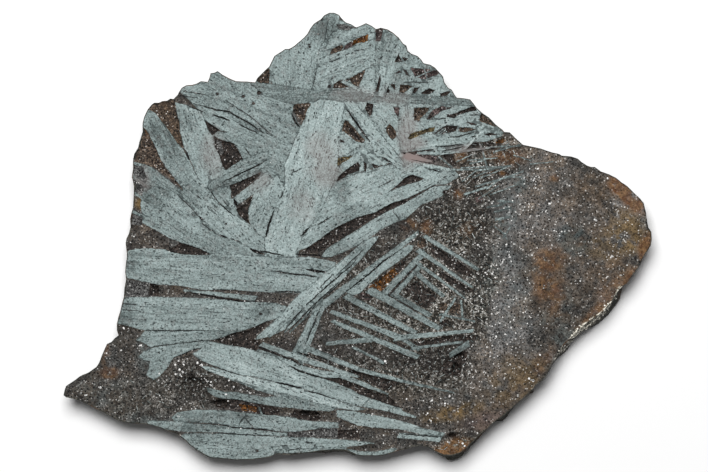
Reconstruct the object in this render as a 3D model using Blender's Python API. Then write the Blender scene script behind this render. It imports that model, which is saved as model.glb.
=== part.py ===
"""A polished slab of bladed hematite and magnetite, lying flat on its sawn back.

The slab is one piece of rock. Both faces are cut flat, the upper one is polished, and the rim all
round is left as it broke. Lengths are in millimetres until the mesh is made, in metres, +Z up,
with the origin under the middle of the slab's box, on the plane that it rests on.
"""

from math import hypot, pi, sin
from typing import NamedTuple

import bmesh
import bpy
from mathutils import Vector, noise

METRE = 0.001

THICKNESS = 6.0
LONGEST_EDGE = 1.35
FINE_JAG = 0.10

# How far along the rim the wall's direction, lean and softened run are blended.
OUTWARD_REACH = 4.0
LEAN_REACH = 3.0
SOFT_REACH = 3.6
SOFTENING = 0.85

# Height of each ring of the broken wall, from the polished edge down to the sawn back.
WALL_LEVELS = (6.0, 5.65, 4.5, 3.1, 1.6, 0.35, 0.0)
BACK_EDGE_CHIP = 0.30
WALL_SWELL = 0.95
SWELL_PITCH = 6.0
WALL_LEDGE = 0.62
LEDGE_LENGTH = 4.2
LEDGE_HEIGHT = 2.6
LEVEL_WANDER = 0.5
LEAST_UNDERCUT = 0.02

VUG_ROUGHNESS = 0.22

HEMATITE_COLOUR = (0.30, 0.345, 0.355, 1.0)
HEMATITE_ROUGHNESS = 0.36
HEMATITE_METALLIC = 0.45


class Stretch(NamedTuple):
    """A run of the polished face's edge, and how far the back reaches out past it there."""

    name: str
    lean: float
    points: tuple


class Vug(NamedTuple):
    """A small natural hollow, open at the polished face."""

    at: tuple
    half_size: tuple
    depth: float
    turn: float


# The edge of the polished face, clockwise from the tip of the tail.
RIM = (
    Stretch(
        "upper side of the tail", -0.8,
        ((-70.8, -38.1), (-70.5, -36.7), (-70.2, -35.9), (-68.7, -34.9), (-67.1, -33.7),
         (-66.2, -33.2), (-64.9, -32.7), (-64.3, -32.3), (-62.9, -31.3), (-62.3, -30.4),
         (-61.7, -28.8), (-61.1, -27.4), (-60.4, -25.8), (-59.3, -25.3), (-58.6, -24.5),
         (-57.6, -23.7)),
    ),
    Stretch(
        "west side", -1.1,
        ((-58.0, -22.5), (-58.0, -21.0), (-57.6, -19.2), (-57.2, -18.0), (-56.8, -16.3),
         (-56.3, -14.5), (-56.2, -12.5), (-55.8, -10.4), (-56.0, -8.4), (-55.9, -7.2),
         (-55.6, -5.1), (-55.7, -3.1), (-55.9, -1.6), (-55.7, -0.5), (-55.1, 0.7),
         (-54.7, 2.3), (-54.8, 4.2), (-54.5, 5.7), (-54.1, 6.9), (-54.0, 9.5), (-53.9, 12.1),
         (-54.4, 14.2), (-54.1, 16.2), (-54.1, 18.6), (-53.8, 19.9), (-52.9, 21.3),
         (-52.6, 22.7), (-51.8, 25.2), (-51.8, 27.3), (-51.4, 28.8), (-50.6, 30.5),
         (-49.6, 31.7), (-49.0, 32.1)),
    ),
    Stretch(
        "shoulder", -0.9,
        ((-47.9, 32.1), (-47.1, 32.5), (-45.9, 32.6), (-45.2, 33.1), (-44.4, 33.0),
         (-43.4, 34.0), (-43.0, 34.8), (-42.4, 35.7), (-41.3, 36.3), (-39.9, 36.4),
         (-38.9, 36.7), (-37.8, 37.3), (-36.2, 37.1), (-35.8, 38.0), (-35.5, 39.2),
         (-34.6, 39.3), (-33.8, 39.7), (-32.6, 38.8), (-31.1, 38.0), (-29.4, 37.3),
         (-26.8, 37.2), (-24.8, 37.0)),
    ),
    Stretch(
        "crest", -1.0,
        ((-24.3, 38.0), (-23.1, 39.2), (-22.1, 40.2), (-21.4, 40.8), (-20.8, 42.1),
         (-20.2, 43.3), (-19.3, 43.9), (-17.6, 45.0), (-16.7, 45.0), (-15.2, 45.9),
         (-13.8, 47.1), (-12.3, 48.6), (-11.6, 49.9), (-10.7, 51.1), (-9.1, 52.1), (-8.2, 53.1),
         (-7.0, 53.7), (-5.8, 53.7), (-4.7, 53.2), (-4.1, 52.4), (-3.1, 51.4), (-1.7, 50.9),
         (-0.6, 50.2), (0.3, 50.5), (1.8, 51.2), (3.1, 50.6), (4.2, 49.8), (5.4, 50.1),
         (7.0, 49.7), (8.3, 48.9), (9.6, 47.8)),
    ),
    Stretch(
        "north-east side", -0.9,
        ((10.7, 46.3), (11.5, 45.8), (11.8, 44.6), (12.6, 43.9), (14.2, 43.3), (15.1, 42.4),
         (15.6, 41.6), (17.3, 41.2), (18.4, 40.5), (19.5, 39.3), (20.3, 38.4), (20.6, 37.0),
         (21.5, 35.7), (22.4, 35.2), (23.0, 34.1), (23.6, 33.3), (25.2, 33.2), (26.8, 32.9),
         (27.7, 31.8), (28.4, 30.8), (29.9, 29.5), (31.3, 28.6), (32.8, 27.0), (34.6, 25.6),
         (35.0, 25.1), (36.3, 25.0), (37.8, 23.5), (39.5, 22.0)),
    ),
    Stretch(
        "nose", -0.7,
        ((41.5, 21.6), (43.8, 21.1), (46.4, 20.2), (48.2, 19.8), (48.8, 19.4), (51.1, 19.2),
         (52.6, 18.7), (53.5, 17.9), (54.9, 17.0), (55.8, 16.7), (56.7, 16.7), (58.2, 15.6),
         (60.2, 14.9), (61.8, 14.1), (63.1, 13.0), (64.6, 12.0), (66.1, 10.5), (67.5, 9.2),
         (68.5, 8.0), (69.0, 5.8), (69.3, 3.5), (69.6, 2.1), (70.3, 1.1), (70.4, -0.6),
         (70.2, -2.0), (69.3, -3.6), (68.1, -5.4), (67.4, -7.2), (66.4, -8.6), (65.3, -10.0),
         (64.4, -11.3)),
    ),
    Stretch(
        "south-east side", 1.9,
        ((62.7, -12.6), (61.8, -13.9), (60.5, -16.0), (59.0, -17.7), (57.3, -19.2),
         (54.6, -21.0), (52.6, -22.7), (50.5, -24.8), (49.1, -26.2)),
    ),
    Stretch(
        "corner above the toe", 0.7,
        ((47.9, -28.2), (47.0, -30.0), (46.0, -31.6), (45.2, -33.2), (44.2, -34.6)),
    ),
    Stretch(
        "lower south-east side", 1.2,
        ((42.6, -35.6), (41.6, -37.0), (38.7, -39.6), (36.2, -41.8), (34.5, -43.2),
         (33.0, -44.2), (31.2, -45.8), (29.3, -47.4), (27.8, -49.0), (26.2, -50.4)),
    ),
    Stretch(
        "toe", 1.4,
        ((24.6, -51.8), (22.8, -52.5), (20.5, -52.5), (19.3, -52.0), (18.0, -51.4)),
    ),
    Stretch(
        "hollow behind the toe", 0.1,
        ((16.8, -50.6), (15.0, -50.2), (13.3, -50.4), (11.5, -51.0), (9.8, -51.3),
         (8.2, -51.9), (6.5, -52.4), (4.1, -52.7), (1.2, -52.7), (-0.6, -52.4)),
    ),
    Stretch(
        "south side", 1.1,
        ((-1.6, -51.9), (-3.2, -51.3), (-6.0, -51.2), (-9.1, -51.5), (-12.0, -51.9),
         (-14.9, -52.3), (-17.0, -52.5), (-18.8, -52.2)),
    ),
    Stretch(
        "belly", -0.4,
        ((-20.1, -52.3), (-20.8, -52.8), (-22.6, -53.2), (-25.2, -53.5), (-29.6, -53.7),
         (-32.2, -53.4), (-35.6, -53.1), (-37.0, -52.4), (-38.8, -51.3), (-40.3, -50.2),
         (-41.7, -48.8), (-43.2, -47.7)),
    ),
    Stretch(
        "lower side of the tail", -0.6,
        ((-44.1, -47.2), (-45.8, -46.7), (-47.6, -45.9), (-49.1, -45.5), (-51.1, -45.0),
         (-54.0, -44.9), (-56.4, -44.6), (-58.8, -43.6), (-60.8, -42.4), (-62.9, -41.4),
         (-64.9, -40.3), (-67.2, -39.3), (-68.1, -39.0), (-70.2, -38.6)),
    ),
)

VUGS = (
    Vug((-39.6, -35.2), (2.6, 1.4), 1.3, -0.25),
    Vug((-33.4, -40.0), (2.1, 0.8), 0.9, -0.10),
    Vug((-12.9, -42.5), (1.5, 0.75), 1.1, 0.0),
    Vug((-10.2, -42.9), (1.0, 0.8), 1.0, 0.0),
    Vug((-48.6, -12.7), (0.8, 1.0), 0.8, 0.1),
    Vug((24.2, -28.6), (1.3, 1.1), 1.1, 0.6),
    Vug((23.4, -31.8), (1.2, 1.3), 1.2, 0.1),
    Vug((22.9, -47.6), (1.5, 0.6), 0.9, -0.2),
)


class Station(NamedTuple):
    """A point of the polished face's edge, with the lean of the wall under it."""

    x: float
    y: float
    lean: float


def clear_scene():
    """Removes whatever the scene holds."""
    for obj in list(bpy.data.objects):
        bpy.data.objects.remove(obj)


def jag(x, y):
    """A small sideways step of the broken edge at a point, the same on every run."""
    return noise.noise(Vector((x * 1.7, y * 1.7, 3.0))) * FINE_JAG


def rim_stations():
    """The whole edge as stations at most LONGEST_EDGE apart, with a fine jag between the corners."""
    corners = [Station(x, y, run.lean) for run in RIM for x, y in run.points]
    stations = []
    for here, after in zip(corners, corners[1:] + corners[:1]):
        length = hypot(after.x - here.x, after.y - here.y)
        parts = max(1, round(length / LONGEST_EDGE + 0.25))
        across = ((after.y - here.y) / length, (here.x - after.x) / length)
        for k in range(parts):
            share = k / parts
            x = here.x + (after.x - here.x) * share
            y = here.y + (after.y - here.y) * share
            step = jag(x, y) if k else 0.0
            stations.append(Station(x + across[0] * step, y + across[1] * step, here.lean))
    return stations


def near(stations, middle, reach):
    """Numbers of the stations within reach of one along the rim, each with a weight that fades out."""
    count = len(stations)
    found = [(middle, 1.0)]
    for way in (-1, 1):
        walked, here = 0.0, stations[middle]
        for k in range(1, count):
            number = (middle + way * k) % count
            after = stations[number]
            walked += hypot(after.x - here.x, after.y - here.y)
            if walked >= reach:
                break
            found.append((number, 1.0 - walked / reach))
            here = after
    return found


def outward(stations, middle):
    """The direction out of the slab at a station, smoothed along the rim."""
    total = Vector((0.0, 0.0))
    for number, weight in near(stations, middle, OUTWARD_REACH):
        here, after = stations[number], stations[(number + 1) % len(stations)]
        # The rim runs clockwise, so its outside is on the left of each edge.
        total += Vector((here.y - after.y, after.x - here.x)) * weight
    return total.normalized()


def softened(stations, middle):
    """The station that the wall runs down to: its corners rounded off, its lean blended along the rim."""
    around = near(stations, middle, SOFT_REACH)
    weights = sum(weight for _, weight in around)
    x = sum(stations[number].x * weight for number, weight in around) / weights
    y = sum(stations[number].y * weight for number, weight in around) / weights
    around = near(stations, middle, LEAN_REACH)
    weights = sum(weight for _, weight in around)
    lean = sum(stations[number].lean * weight for number, weight in around) / weights
    return Station(x, y, lean)


def wall_offset(station, lean, height):
    """How far the broken wall stands out from the polished edge, at a height."""
    depth = 1.0 - height / THICKNESS
    if depth <= 0.0:
        return 0.0
    at = Vector((station.x, station.y, height))
    swell = noise.noise(at / SWELL_PITCH) * WALL_SWELL
    block = Vector((at.x / LEDGE_LENGTH, at.y / LEDGE_LENGTH, at.z / LEDGE_HEIGHT))
    ledge = (noise.cell(block) - 0.5) * WALL_LEDGE
    belly = sin(pi * min(depth, 0.85) / 1.25)
    offset = lean * depth ** 0.75 + (swell + ledge) * belly
    if lean < 0.0:
        offset = min(offset, -LEAST_UNDERCUT)
    if height == 0.0:
        offset -= BACK_EDGE_CHIP
    return offset


def ring_points(stations, lower_stations, outwards, height):
    """One ring of the wall, counter-clockwise seen from above."""
    near_a_face = height < 0.5 or height > THICKNESS - 0.5
    soft = SOFTENING * (1.0 - height / THICKNESS)
    ring = []
    for upper, lower, out in zip(stations, lower_stations, outwards):
        offset = wall_offset(upper, lower.lean, height)
        x = upper.x + (lower.x - upper.x) * soft + out.x * offset
        y = upper.y + (lower.y - upper.y) * soft + out.y * offset
        wander = noise.noise(Vector((upper.x * 0.35, upper.y * 0.35, height * 2.0))) * LEVEL_WANDER
        ring.append(Vector((x, y, height if near_a_face else height + wander)))
    ring.reverse()
    return ring


def slab_mesh():
    """The slab as one closed mesh: a loft of rings between two flat faces."""
    stations = rim_stations()
    outwards = [outward(stations, k) for k in range(len(stations))]
    lower_stations = [softened(stations, k) for k in range(len(stations))]
    rings = [ring_points(stations, lower_stations, outwards, height) for height in WALL_LEVELS]

    everything = [p for ring in rings for p in ring]
    middle_x = (min(p.x for p in everything) + max(p.x for p in everything)) / 2.0
    middle_y = (min(p.y for p in everything) + max(p.y for p in everything)) / 2.0
    middle = Vector((middle_x, middle_y, 0.0))

    mesh = bmesh.new()
    levels = [[mesh.verts.new((p - middle) * METRE) for p in ring] for ring in rings]
    count = len(stations)
    for upper, lower in zip(levels, levels[1:]):
        for k in range(count):
            after = (k + 1) % count
            mesh.faces.new((upper[k], lower[k], lower[after], upper[after]))
    mesh.faces.new(levels[0])
    mesh.faces.new(reversed(levels[-1]))
    mesh.normal_update()
    bmesh.ops.triangulate(mesh, faces=mesh.faces[:])
    data = bpy.data.meshes.new("slab")
    mesh.to_mesh(data)
    mesh.free()
    return data, middle


def vug_cutter(vug, number, middle, collection):
    """A lumpy egg whose lower half dips into the polished face by the vug's depth."""
    mesh = bmesh.new()
    bmesh.ops.create_icosphere(mesh, subdivisions=2, radius=1.0)
    for vertex in mesh.verts:
        lump = 1.0 + VUG_ROUGHNESS * noise.noise(vertex.co * 1.9 + Vector((number * 7.0, 0.0, 0.0)))
        vertex.co *= lump
        vertex.co.x *= vug.half_size[0] * METRE
        vertex.co.y *= vug.half_size[1] * METRE
        vertex.co.z *= vug.depth * METRE
    data = bpy.data.meshes.new(f"vug_cutter_{number}")
    mesh.to_mesh(data)
    mesh.free()
    cutter = bpy.data.objects.new(data.name, data)
    cutter.location = (Vector((vug.at[0], vug.at[1], THICKNESS)) - middle) * METRE
    cutter.rotation_euler.z = vug.turn
    cutter.hide_render = True
    cutter.display_type = "WIRE"
    collection.objects.link(cutter)
    return cutter


def stone_material():
    """Steel-grey hematite with a low polish."""
    material = bpy.data.materials.new("hematite")
    material.use_nodes = True
    shader = material.node_tree.nodes["Principled BSDF"]
    shader.inputs["Base Color"].default_value = HEMATITE_COLOUR
    shader.inputs["Roughness"].default_value = HEMATITE_ROUGHNESS
    shader.inputs["Metallic"].default_value = HEMATITE_METALLIC
    return material


def new_collection(name):
    """A collection of that name in the scene."""
    collection = bpy.data.collections.new(name)
    bpy.context.scene.collection.children.link(collection)
    return collection


def main():
    """Builds the slab and cuts its vugs."""
    clear_scene()
    slab_collection = new_collection("hematite_slab")
    cutters = new_collection("cutters")

    data, middle = slab_mesh()
    slab = bpy.data.objects.new("hematite_slab", data)
    data.materials.append(stone_material())
    slab_collection.objects.link(slab)

    for number, vug in enumerate(VUGS):
        cut = slab.modifiers.new(f"vug_{number}", "BOOLEAN")
        cut.operation = "DIFFERENCE"
        cut.object = vug_cutter(vug, number, middle, cutters)


main()
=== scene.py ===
"""Looks of the polished hematite magnetite slab.

The slab is one piece of rock. Its upper face is ground and polished and shows blades of
hematite, cut lengthwise, in a dark granular ground with small crystals of quartz. Its rim is
broken and its back is sawn.

The pattern of the polished face is laid out in millimetres, +X to the right and +Y up, as it
is seen from straight above.
"""

import logging
import math
import random
from dataclasses import dataclass, field
from enum import Enum
from typing import Any, Iterable, Sequence

import bmesh
import bpy
import numpy as np
from mathutils import Matrix, Vector, noise
from mathutils.geometry import delaunay_2d_cdt
from mathutils.kdtree import KDTree

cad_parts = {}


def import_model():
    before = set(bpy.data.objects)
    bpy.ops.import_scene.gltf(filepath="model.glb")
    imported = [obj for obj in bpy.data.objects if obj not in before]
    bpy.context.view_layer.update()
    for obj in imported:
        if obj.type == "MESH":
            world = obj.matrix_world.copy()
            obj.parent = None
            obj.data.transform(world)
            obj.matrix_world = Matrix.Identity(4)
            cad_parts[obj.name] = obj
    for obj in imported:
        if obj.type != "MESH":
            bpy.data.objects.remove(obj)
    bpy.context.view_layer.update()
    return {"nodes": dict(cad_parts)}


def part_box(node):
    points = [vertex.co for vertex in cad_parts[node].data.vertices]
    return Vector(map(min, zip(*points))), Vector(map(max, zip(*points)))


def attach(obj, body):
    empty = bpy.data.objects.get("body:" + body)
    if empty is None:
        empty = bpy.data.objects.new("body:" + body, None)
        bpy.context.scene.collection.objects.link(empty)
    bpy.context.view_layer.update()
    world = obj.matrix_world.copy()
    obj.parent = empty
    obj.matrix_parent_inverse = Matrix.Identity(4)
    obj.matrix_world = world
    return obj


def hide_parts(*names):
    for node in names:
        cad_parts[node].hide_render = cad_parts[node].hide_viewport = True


LOG = logging.getLogger("slab")

NODE = "hematite_slab"
BODY = "root"

MM = 0.001
PATTERN_MIDDLE = (-0.2, 0.0)  # the middle of the pattern's own box
CRUST_TURN = 45.0  # which way the crusted rim runs, in degrees
IMAGE_WIDTH = 708
IMAGE_SCALE = 0.24  # millimetres of the polished face to a pixel
IMAGE_MIDDLE = (-1.08, 0.12)  # the pattern's point at the middle of the picture
SPINE_STEP = 0.6  # from point to point along the middle of a lath
SLIT_STEP = 1.2  # from point to point along the course of a slit
CHUNK = 8192  # how many points are looked at in one go

Point = tuple[float, float]
Run = tuple[float, ...]


class Fill(Enum):
    """What lies inside an outline on the polished face."""

    GROUND = 0
    BLADE = 1
    DARK = 2
    BROWN = 3
    RUST = 4
    OCHRE = 5
    PLUM = 6
    GREY = 7
    CRACK = 8


class Side(Enum):
    """Which surface of the slab a face belongs to."""

    POLISHED = 0.0
    BROKEN = 1.0
    SAWN = 2.0


class Mark(Enum):
    """A tint that comes and goes smoothly over the rock; two patches of the deep one are painted shade
    along the west rim.
    """

    RUST = "rust"
    OCHRE = "ochre"
    PINK = "pink"
    SLATE = "slate"
    DEEP = "deep"
    PALE = "pale"
    COARSE = "coarse"
    EARTH = "earth"
    CRUST = "crust"


@dataclass(frozen=True)
class Bed:
    """The floor of a hollow between the blades: its colour, and how far down it lies."""

    colour: str
    depth: float


BEDS = {
    Fill.GROUND: Bed("#3a3330", 0.10),
    Fill.BLADE: Bed("#8f9f9f", 0.0),
    Fill.DARK: Bed("#5a504a", 0.34),
    Fill.BROWN: Bed("#847262", 0.26),
    Fill.RUST: Bed("#94622f", 0.22),
    Fill.OCHRE: Bed("#8a7a56", 0.18),
    Fill.PLUM: Bed("#7c6a67", 0.14),
    Fill.GREY: Bed("#929290", 0.14),
    Fill.CRACK: Bed("#3c3836", 0.26),
}


def paired(run: Run) -> list[Point]:
    """The points of a line that is written as one run of x and y."""
    return list(zip(run[::2], run[1::2]))


@dataclass(frozen=True)
class Plate:
    """A broad blade of hematite: the direction of its grain, its tone and its outline."""

    turn: float
    tone: float
    run: Run
    fill: Fill = Fill.BLADE

    def outline(self) -> list[Point]:
        """The closed outline, in millimetres."""
        return paired(self.run)

    def spine(self) -> list[Point]:
        """A broad blade needs no line of points along its middle."""
        return []


@dataclass(frozen=True)
class Lath:
    """A narrow blade: its two ends, its width at each and its tone."""

    x: float
    y: float
    end_x: float
    end_y: float
    width: float
    end_width: float
    tone: float
    fill: Fill = Fill.BLADE

    @property
    def ends(self) -> list[Point]:
        """Its two ends, in millimetres."""
        return [(self.x, self.y), (self.end_x, self.end_y)]

    @property
    def turn(self) -> float:
        """The direction of its grain, in degrees from +X."""
        return math.degrees(math.atan2(self.end_y - self.y, self.end_x - self.x))

    def outline(self) -> list[Point]:
        """The closed outline, in millimetres, with each end cut a little aslant."""
        return ribbon(self.ends, [self.width, self.end_width], slant=0.45)

    def spine(self) -> list[Point]:
        """Points along its middle, where it is wide enough to hold them."""
        if min(self.width, self.end_width) < 0.5:
            return []
        return stepped(self.ends, SPINE_STEP, closed=False)[1:-1]


@dataclass(frozen=True)
class Pocket:
    """A hollow between blades: what fills it and its outline."""

    fill: Fill
    run: Run
    tone: float = 0.0
    turn: float = 0.0

    def outline(self) -> list[Point]:
        """The closed outline, in millimetres."""
        return paired(self.run)

    def spine(self) -> list[Point]:
        """A hollow needs no line of points along its middle."""
        return []


@dataclass(frozen=True)
class Slit:
    """A thin dark gap between blades: its course and its width at both ends."""

    run: Run
    width: float
    end_width: float
    fill: Fill = Fill.CRACK
    tone: float = 0.0
    turn: float = 0.0

    def outline(self) -> list[Point]:
        """The closed outline, in millimetres, drawn out to a point at both ends.

        Returns:
            The outline, down one side and back up the other.
        """
        course = stepped(paired(self.run), SLIT_STEP, closed=False)
        count = len(course) - 1
        widths = []
        for i in range(count + 1):
            along = i / count
            taper = min(1.0, 0.3 + 3.2 * min(along, 1.0 - along))
            widths.append((self.width + (self.end_width - self.width) * along) * taper)
        return ribbon(course, widths)

    def spine(self) -> list[Point]:
        """Points along its middle, where it is wide enough to have a floor."""
        return stepped(paired(self.run), 0.7, closed=False)[1:-1] if self.width > 0.22 else []


@dataclass(frozen=True)
class Patch:
    """An oval patch of a tint: its middle, its two half lengths, its turn and its strength."""

    x: float
    y: float
    half_length: float
    half_width: float
    turn: float
    strength: float

    def cover(self, x: np.ndarray, y: np.ndarray, wobble: np.ndarray) -> np.ndarray:
        """How strongly it shows at some points: fully inside it, and less towards its edge.

        Args:
            x: Each point's distance along X.
            y: Each point's distance along Y.
            wobble: How uneven the edge is at each point.

        Returns:
            One strength a point.
        """
        turn = math.radians(self.turn)
        dx, dy = x - self.x, y - self.y
        along = (dx * math.cos(turn) + dy * math.sin(turn)) / self.half_length
        across = (dy * math.cos(turn) - dx * math.sin(turn)) / self.half_width
        reach = np.hypot(along, across) + 0.45 * wobble
        return np.clip((1.35 - reach) / 0.75, 0.0, 1.0) * self.strength


Shape = Plate | Lath | Pocket | Slit


def laths(*rows: Run) -> tuple[Lath, ...]:
    """Laths, each from a row of the start's x and y, the end's, the two widths and the tone."""
    return tuple(Lath(*row) for row in rows)


def pockets(fill: Fill, *runs: Run) -> tuple[Pocket, ...]:
    """Hollows with the same fill, each from the run of its outline."""
    return tuple(Pocket(fill, run) for run in runs)


def slits(*rows: Run) -> tuple[Slit, ...]:
    """Slits, each from a row of the widths at both ends and the run of its course."""
    return tuple(Slit(row[2:], *row[:2]) for row in rows)


def stepped(points: list[Point], step: float, closed: bool = True) -> list[Point]:
    """Points along a line at about the given step.

    Args:
        points: The corners, which are kept.
        step: The distance between neighbours, at most.
        closed: Whether the last corner joins the first.

    Returns:
        The corners and what lies between them. A closed line doesn't repeat its first point.
    """
    ends = points[1:] + points[:1] if closed else points[1:]
    made = []
    for start, end in zip(points, ends):
        count = max(1, math.ceil(math.dist(start, end) / step))
        for i in range(count):
            t = i / count
            made.append((start[0] + (end[0] - start[0]) * t, start[1] + (end[1] - start[1]) * t))
    return made if closed else made + [points[-1]]


def ribbon(course: list[Point], widths: list[float], slant: float = 0.0) -> list[Point]:
    """The outline of a strip that follows a line.

    Args:
        course: The line down its middle.
        widths: The width at each point of the line.
        slant: How far the two ends are cut aslant, as a share of the width.

    Returns:
        The closed outline, down one side and back up the other.
    """
    left, right = [], []
    for i, (x, y) in enumerate(course):
        before, after = course[max(0, i - 1)], course[min(len(course) - 1, i + 1)]
        length = math.dist(before, after) or 1.0
        dx, dy = (after[0] - before[0]) / length, (after[1] - before[1]) / length
        half = widths[i] / 2
        lean = half * slant if i in (0, len(course) - 1) else 0.0
        left.append((x - dy * half + dx * lean, y + dx * half + dy * lean))
        right.append((x + dy * half - dx * lean, y - dx * half - dy * lean))
    return left + right[::-1]


def inside(points: np.ndarray, outline: np.ndarray) -> np.ndarray:
    """Tells which points lie inside a closed outline.

    Args:
        points: An array of x and y.
        outline: An array of the outline's x and y.

    Returns:
        One truth value a point.
    """
    found = np.zeros(len(points), bool)
    x0, y0 = outline.T
    x1, y1 = np.roll(outline, -1, axis=0).T
    rise = np.where(y1 == y0, 1e-12, y1 - y0)
    for first in range(0, len(points), CHUNK):
        x = points[first:first + CHUNK, 0:1]
        y = points[first:first + CHUNK, 1:2]
        crossed = ((y0 > y) != (y1 > y)) & (x < x0 + (y - y0) * (x1 - x0) / rise)
        found[first:first + CHUNK] = crossed.sum(axis=1) % 2 == 1
    return found


def tree_of(spots: Sequence[Point] | np.ndarray) -> KDTree:
    """A tree that finds the nearest of some points.

    Args:
        spots: Their x and y.

    Returns:
        The tree, in which they lie at a height of nought.
    """
    tree = KDTree(len(spots))
    for i, (x, y) in enumerate(spots):
        tree.insert((x, y, 0), i)
    tree.balance()
    return tree


def shown(name: str, data: bpy.types.ID) -> bpy.types.Object:
    """A new object in the scene, made of a mesh, a light or a camera.

    Args:
        name: The object's name.
        data: What it is made of.

    Returns:
        The object.
    """
    made = bpy.data.objects.new(name, data)
    bpy.context.scene.collection.objects.link(made)
    return made


def note(mesh: bpy.types.Mesh, name: str, values: np.ndarray, domain: str = "POINT") -> None:
    """Writes values into a mesh as an attribute.

    Args:
        mesh: The mesh.
        name: The attribute's name.
        values: One number for each point or corner, or a row of three or of four.
        domain: POINT or CORNER.
    """
    width = 1 if values.ndim == 1 else values.shape[-1]
    kind, key = {1: ("FLOAT", "value"), 3: ("FLOAT_VECTOR", "vector"), 4: ("FLOAT_COLOR", "color")}[width]
    layer = mesh.attributes.new(name, kind, domain)
    layer.data.foreach_set(key, values.astype(np.float32).ravel())


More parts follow.
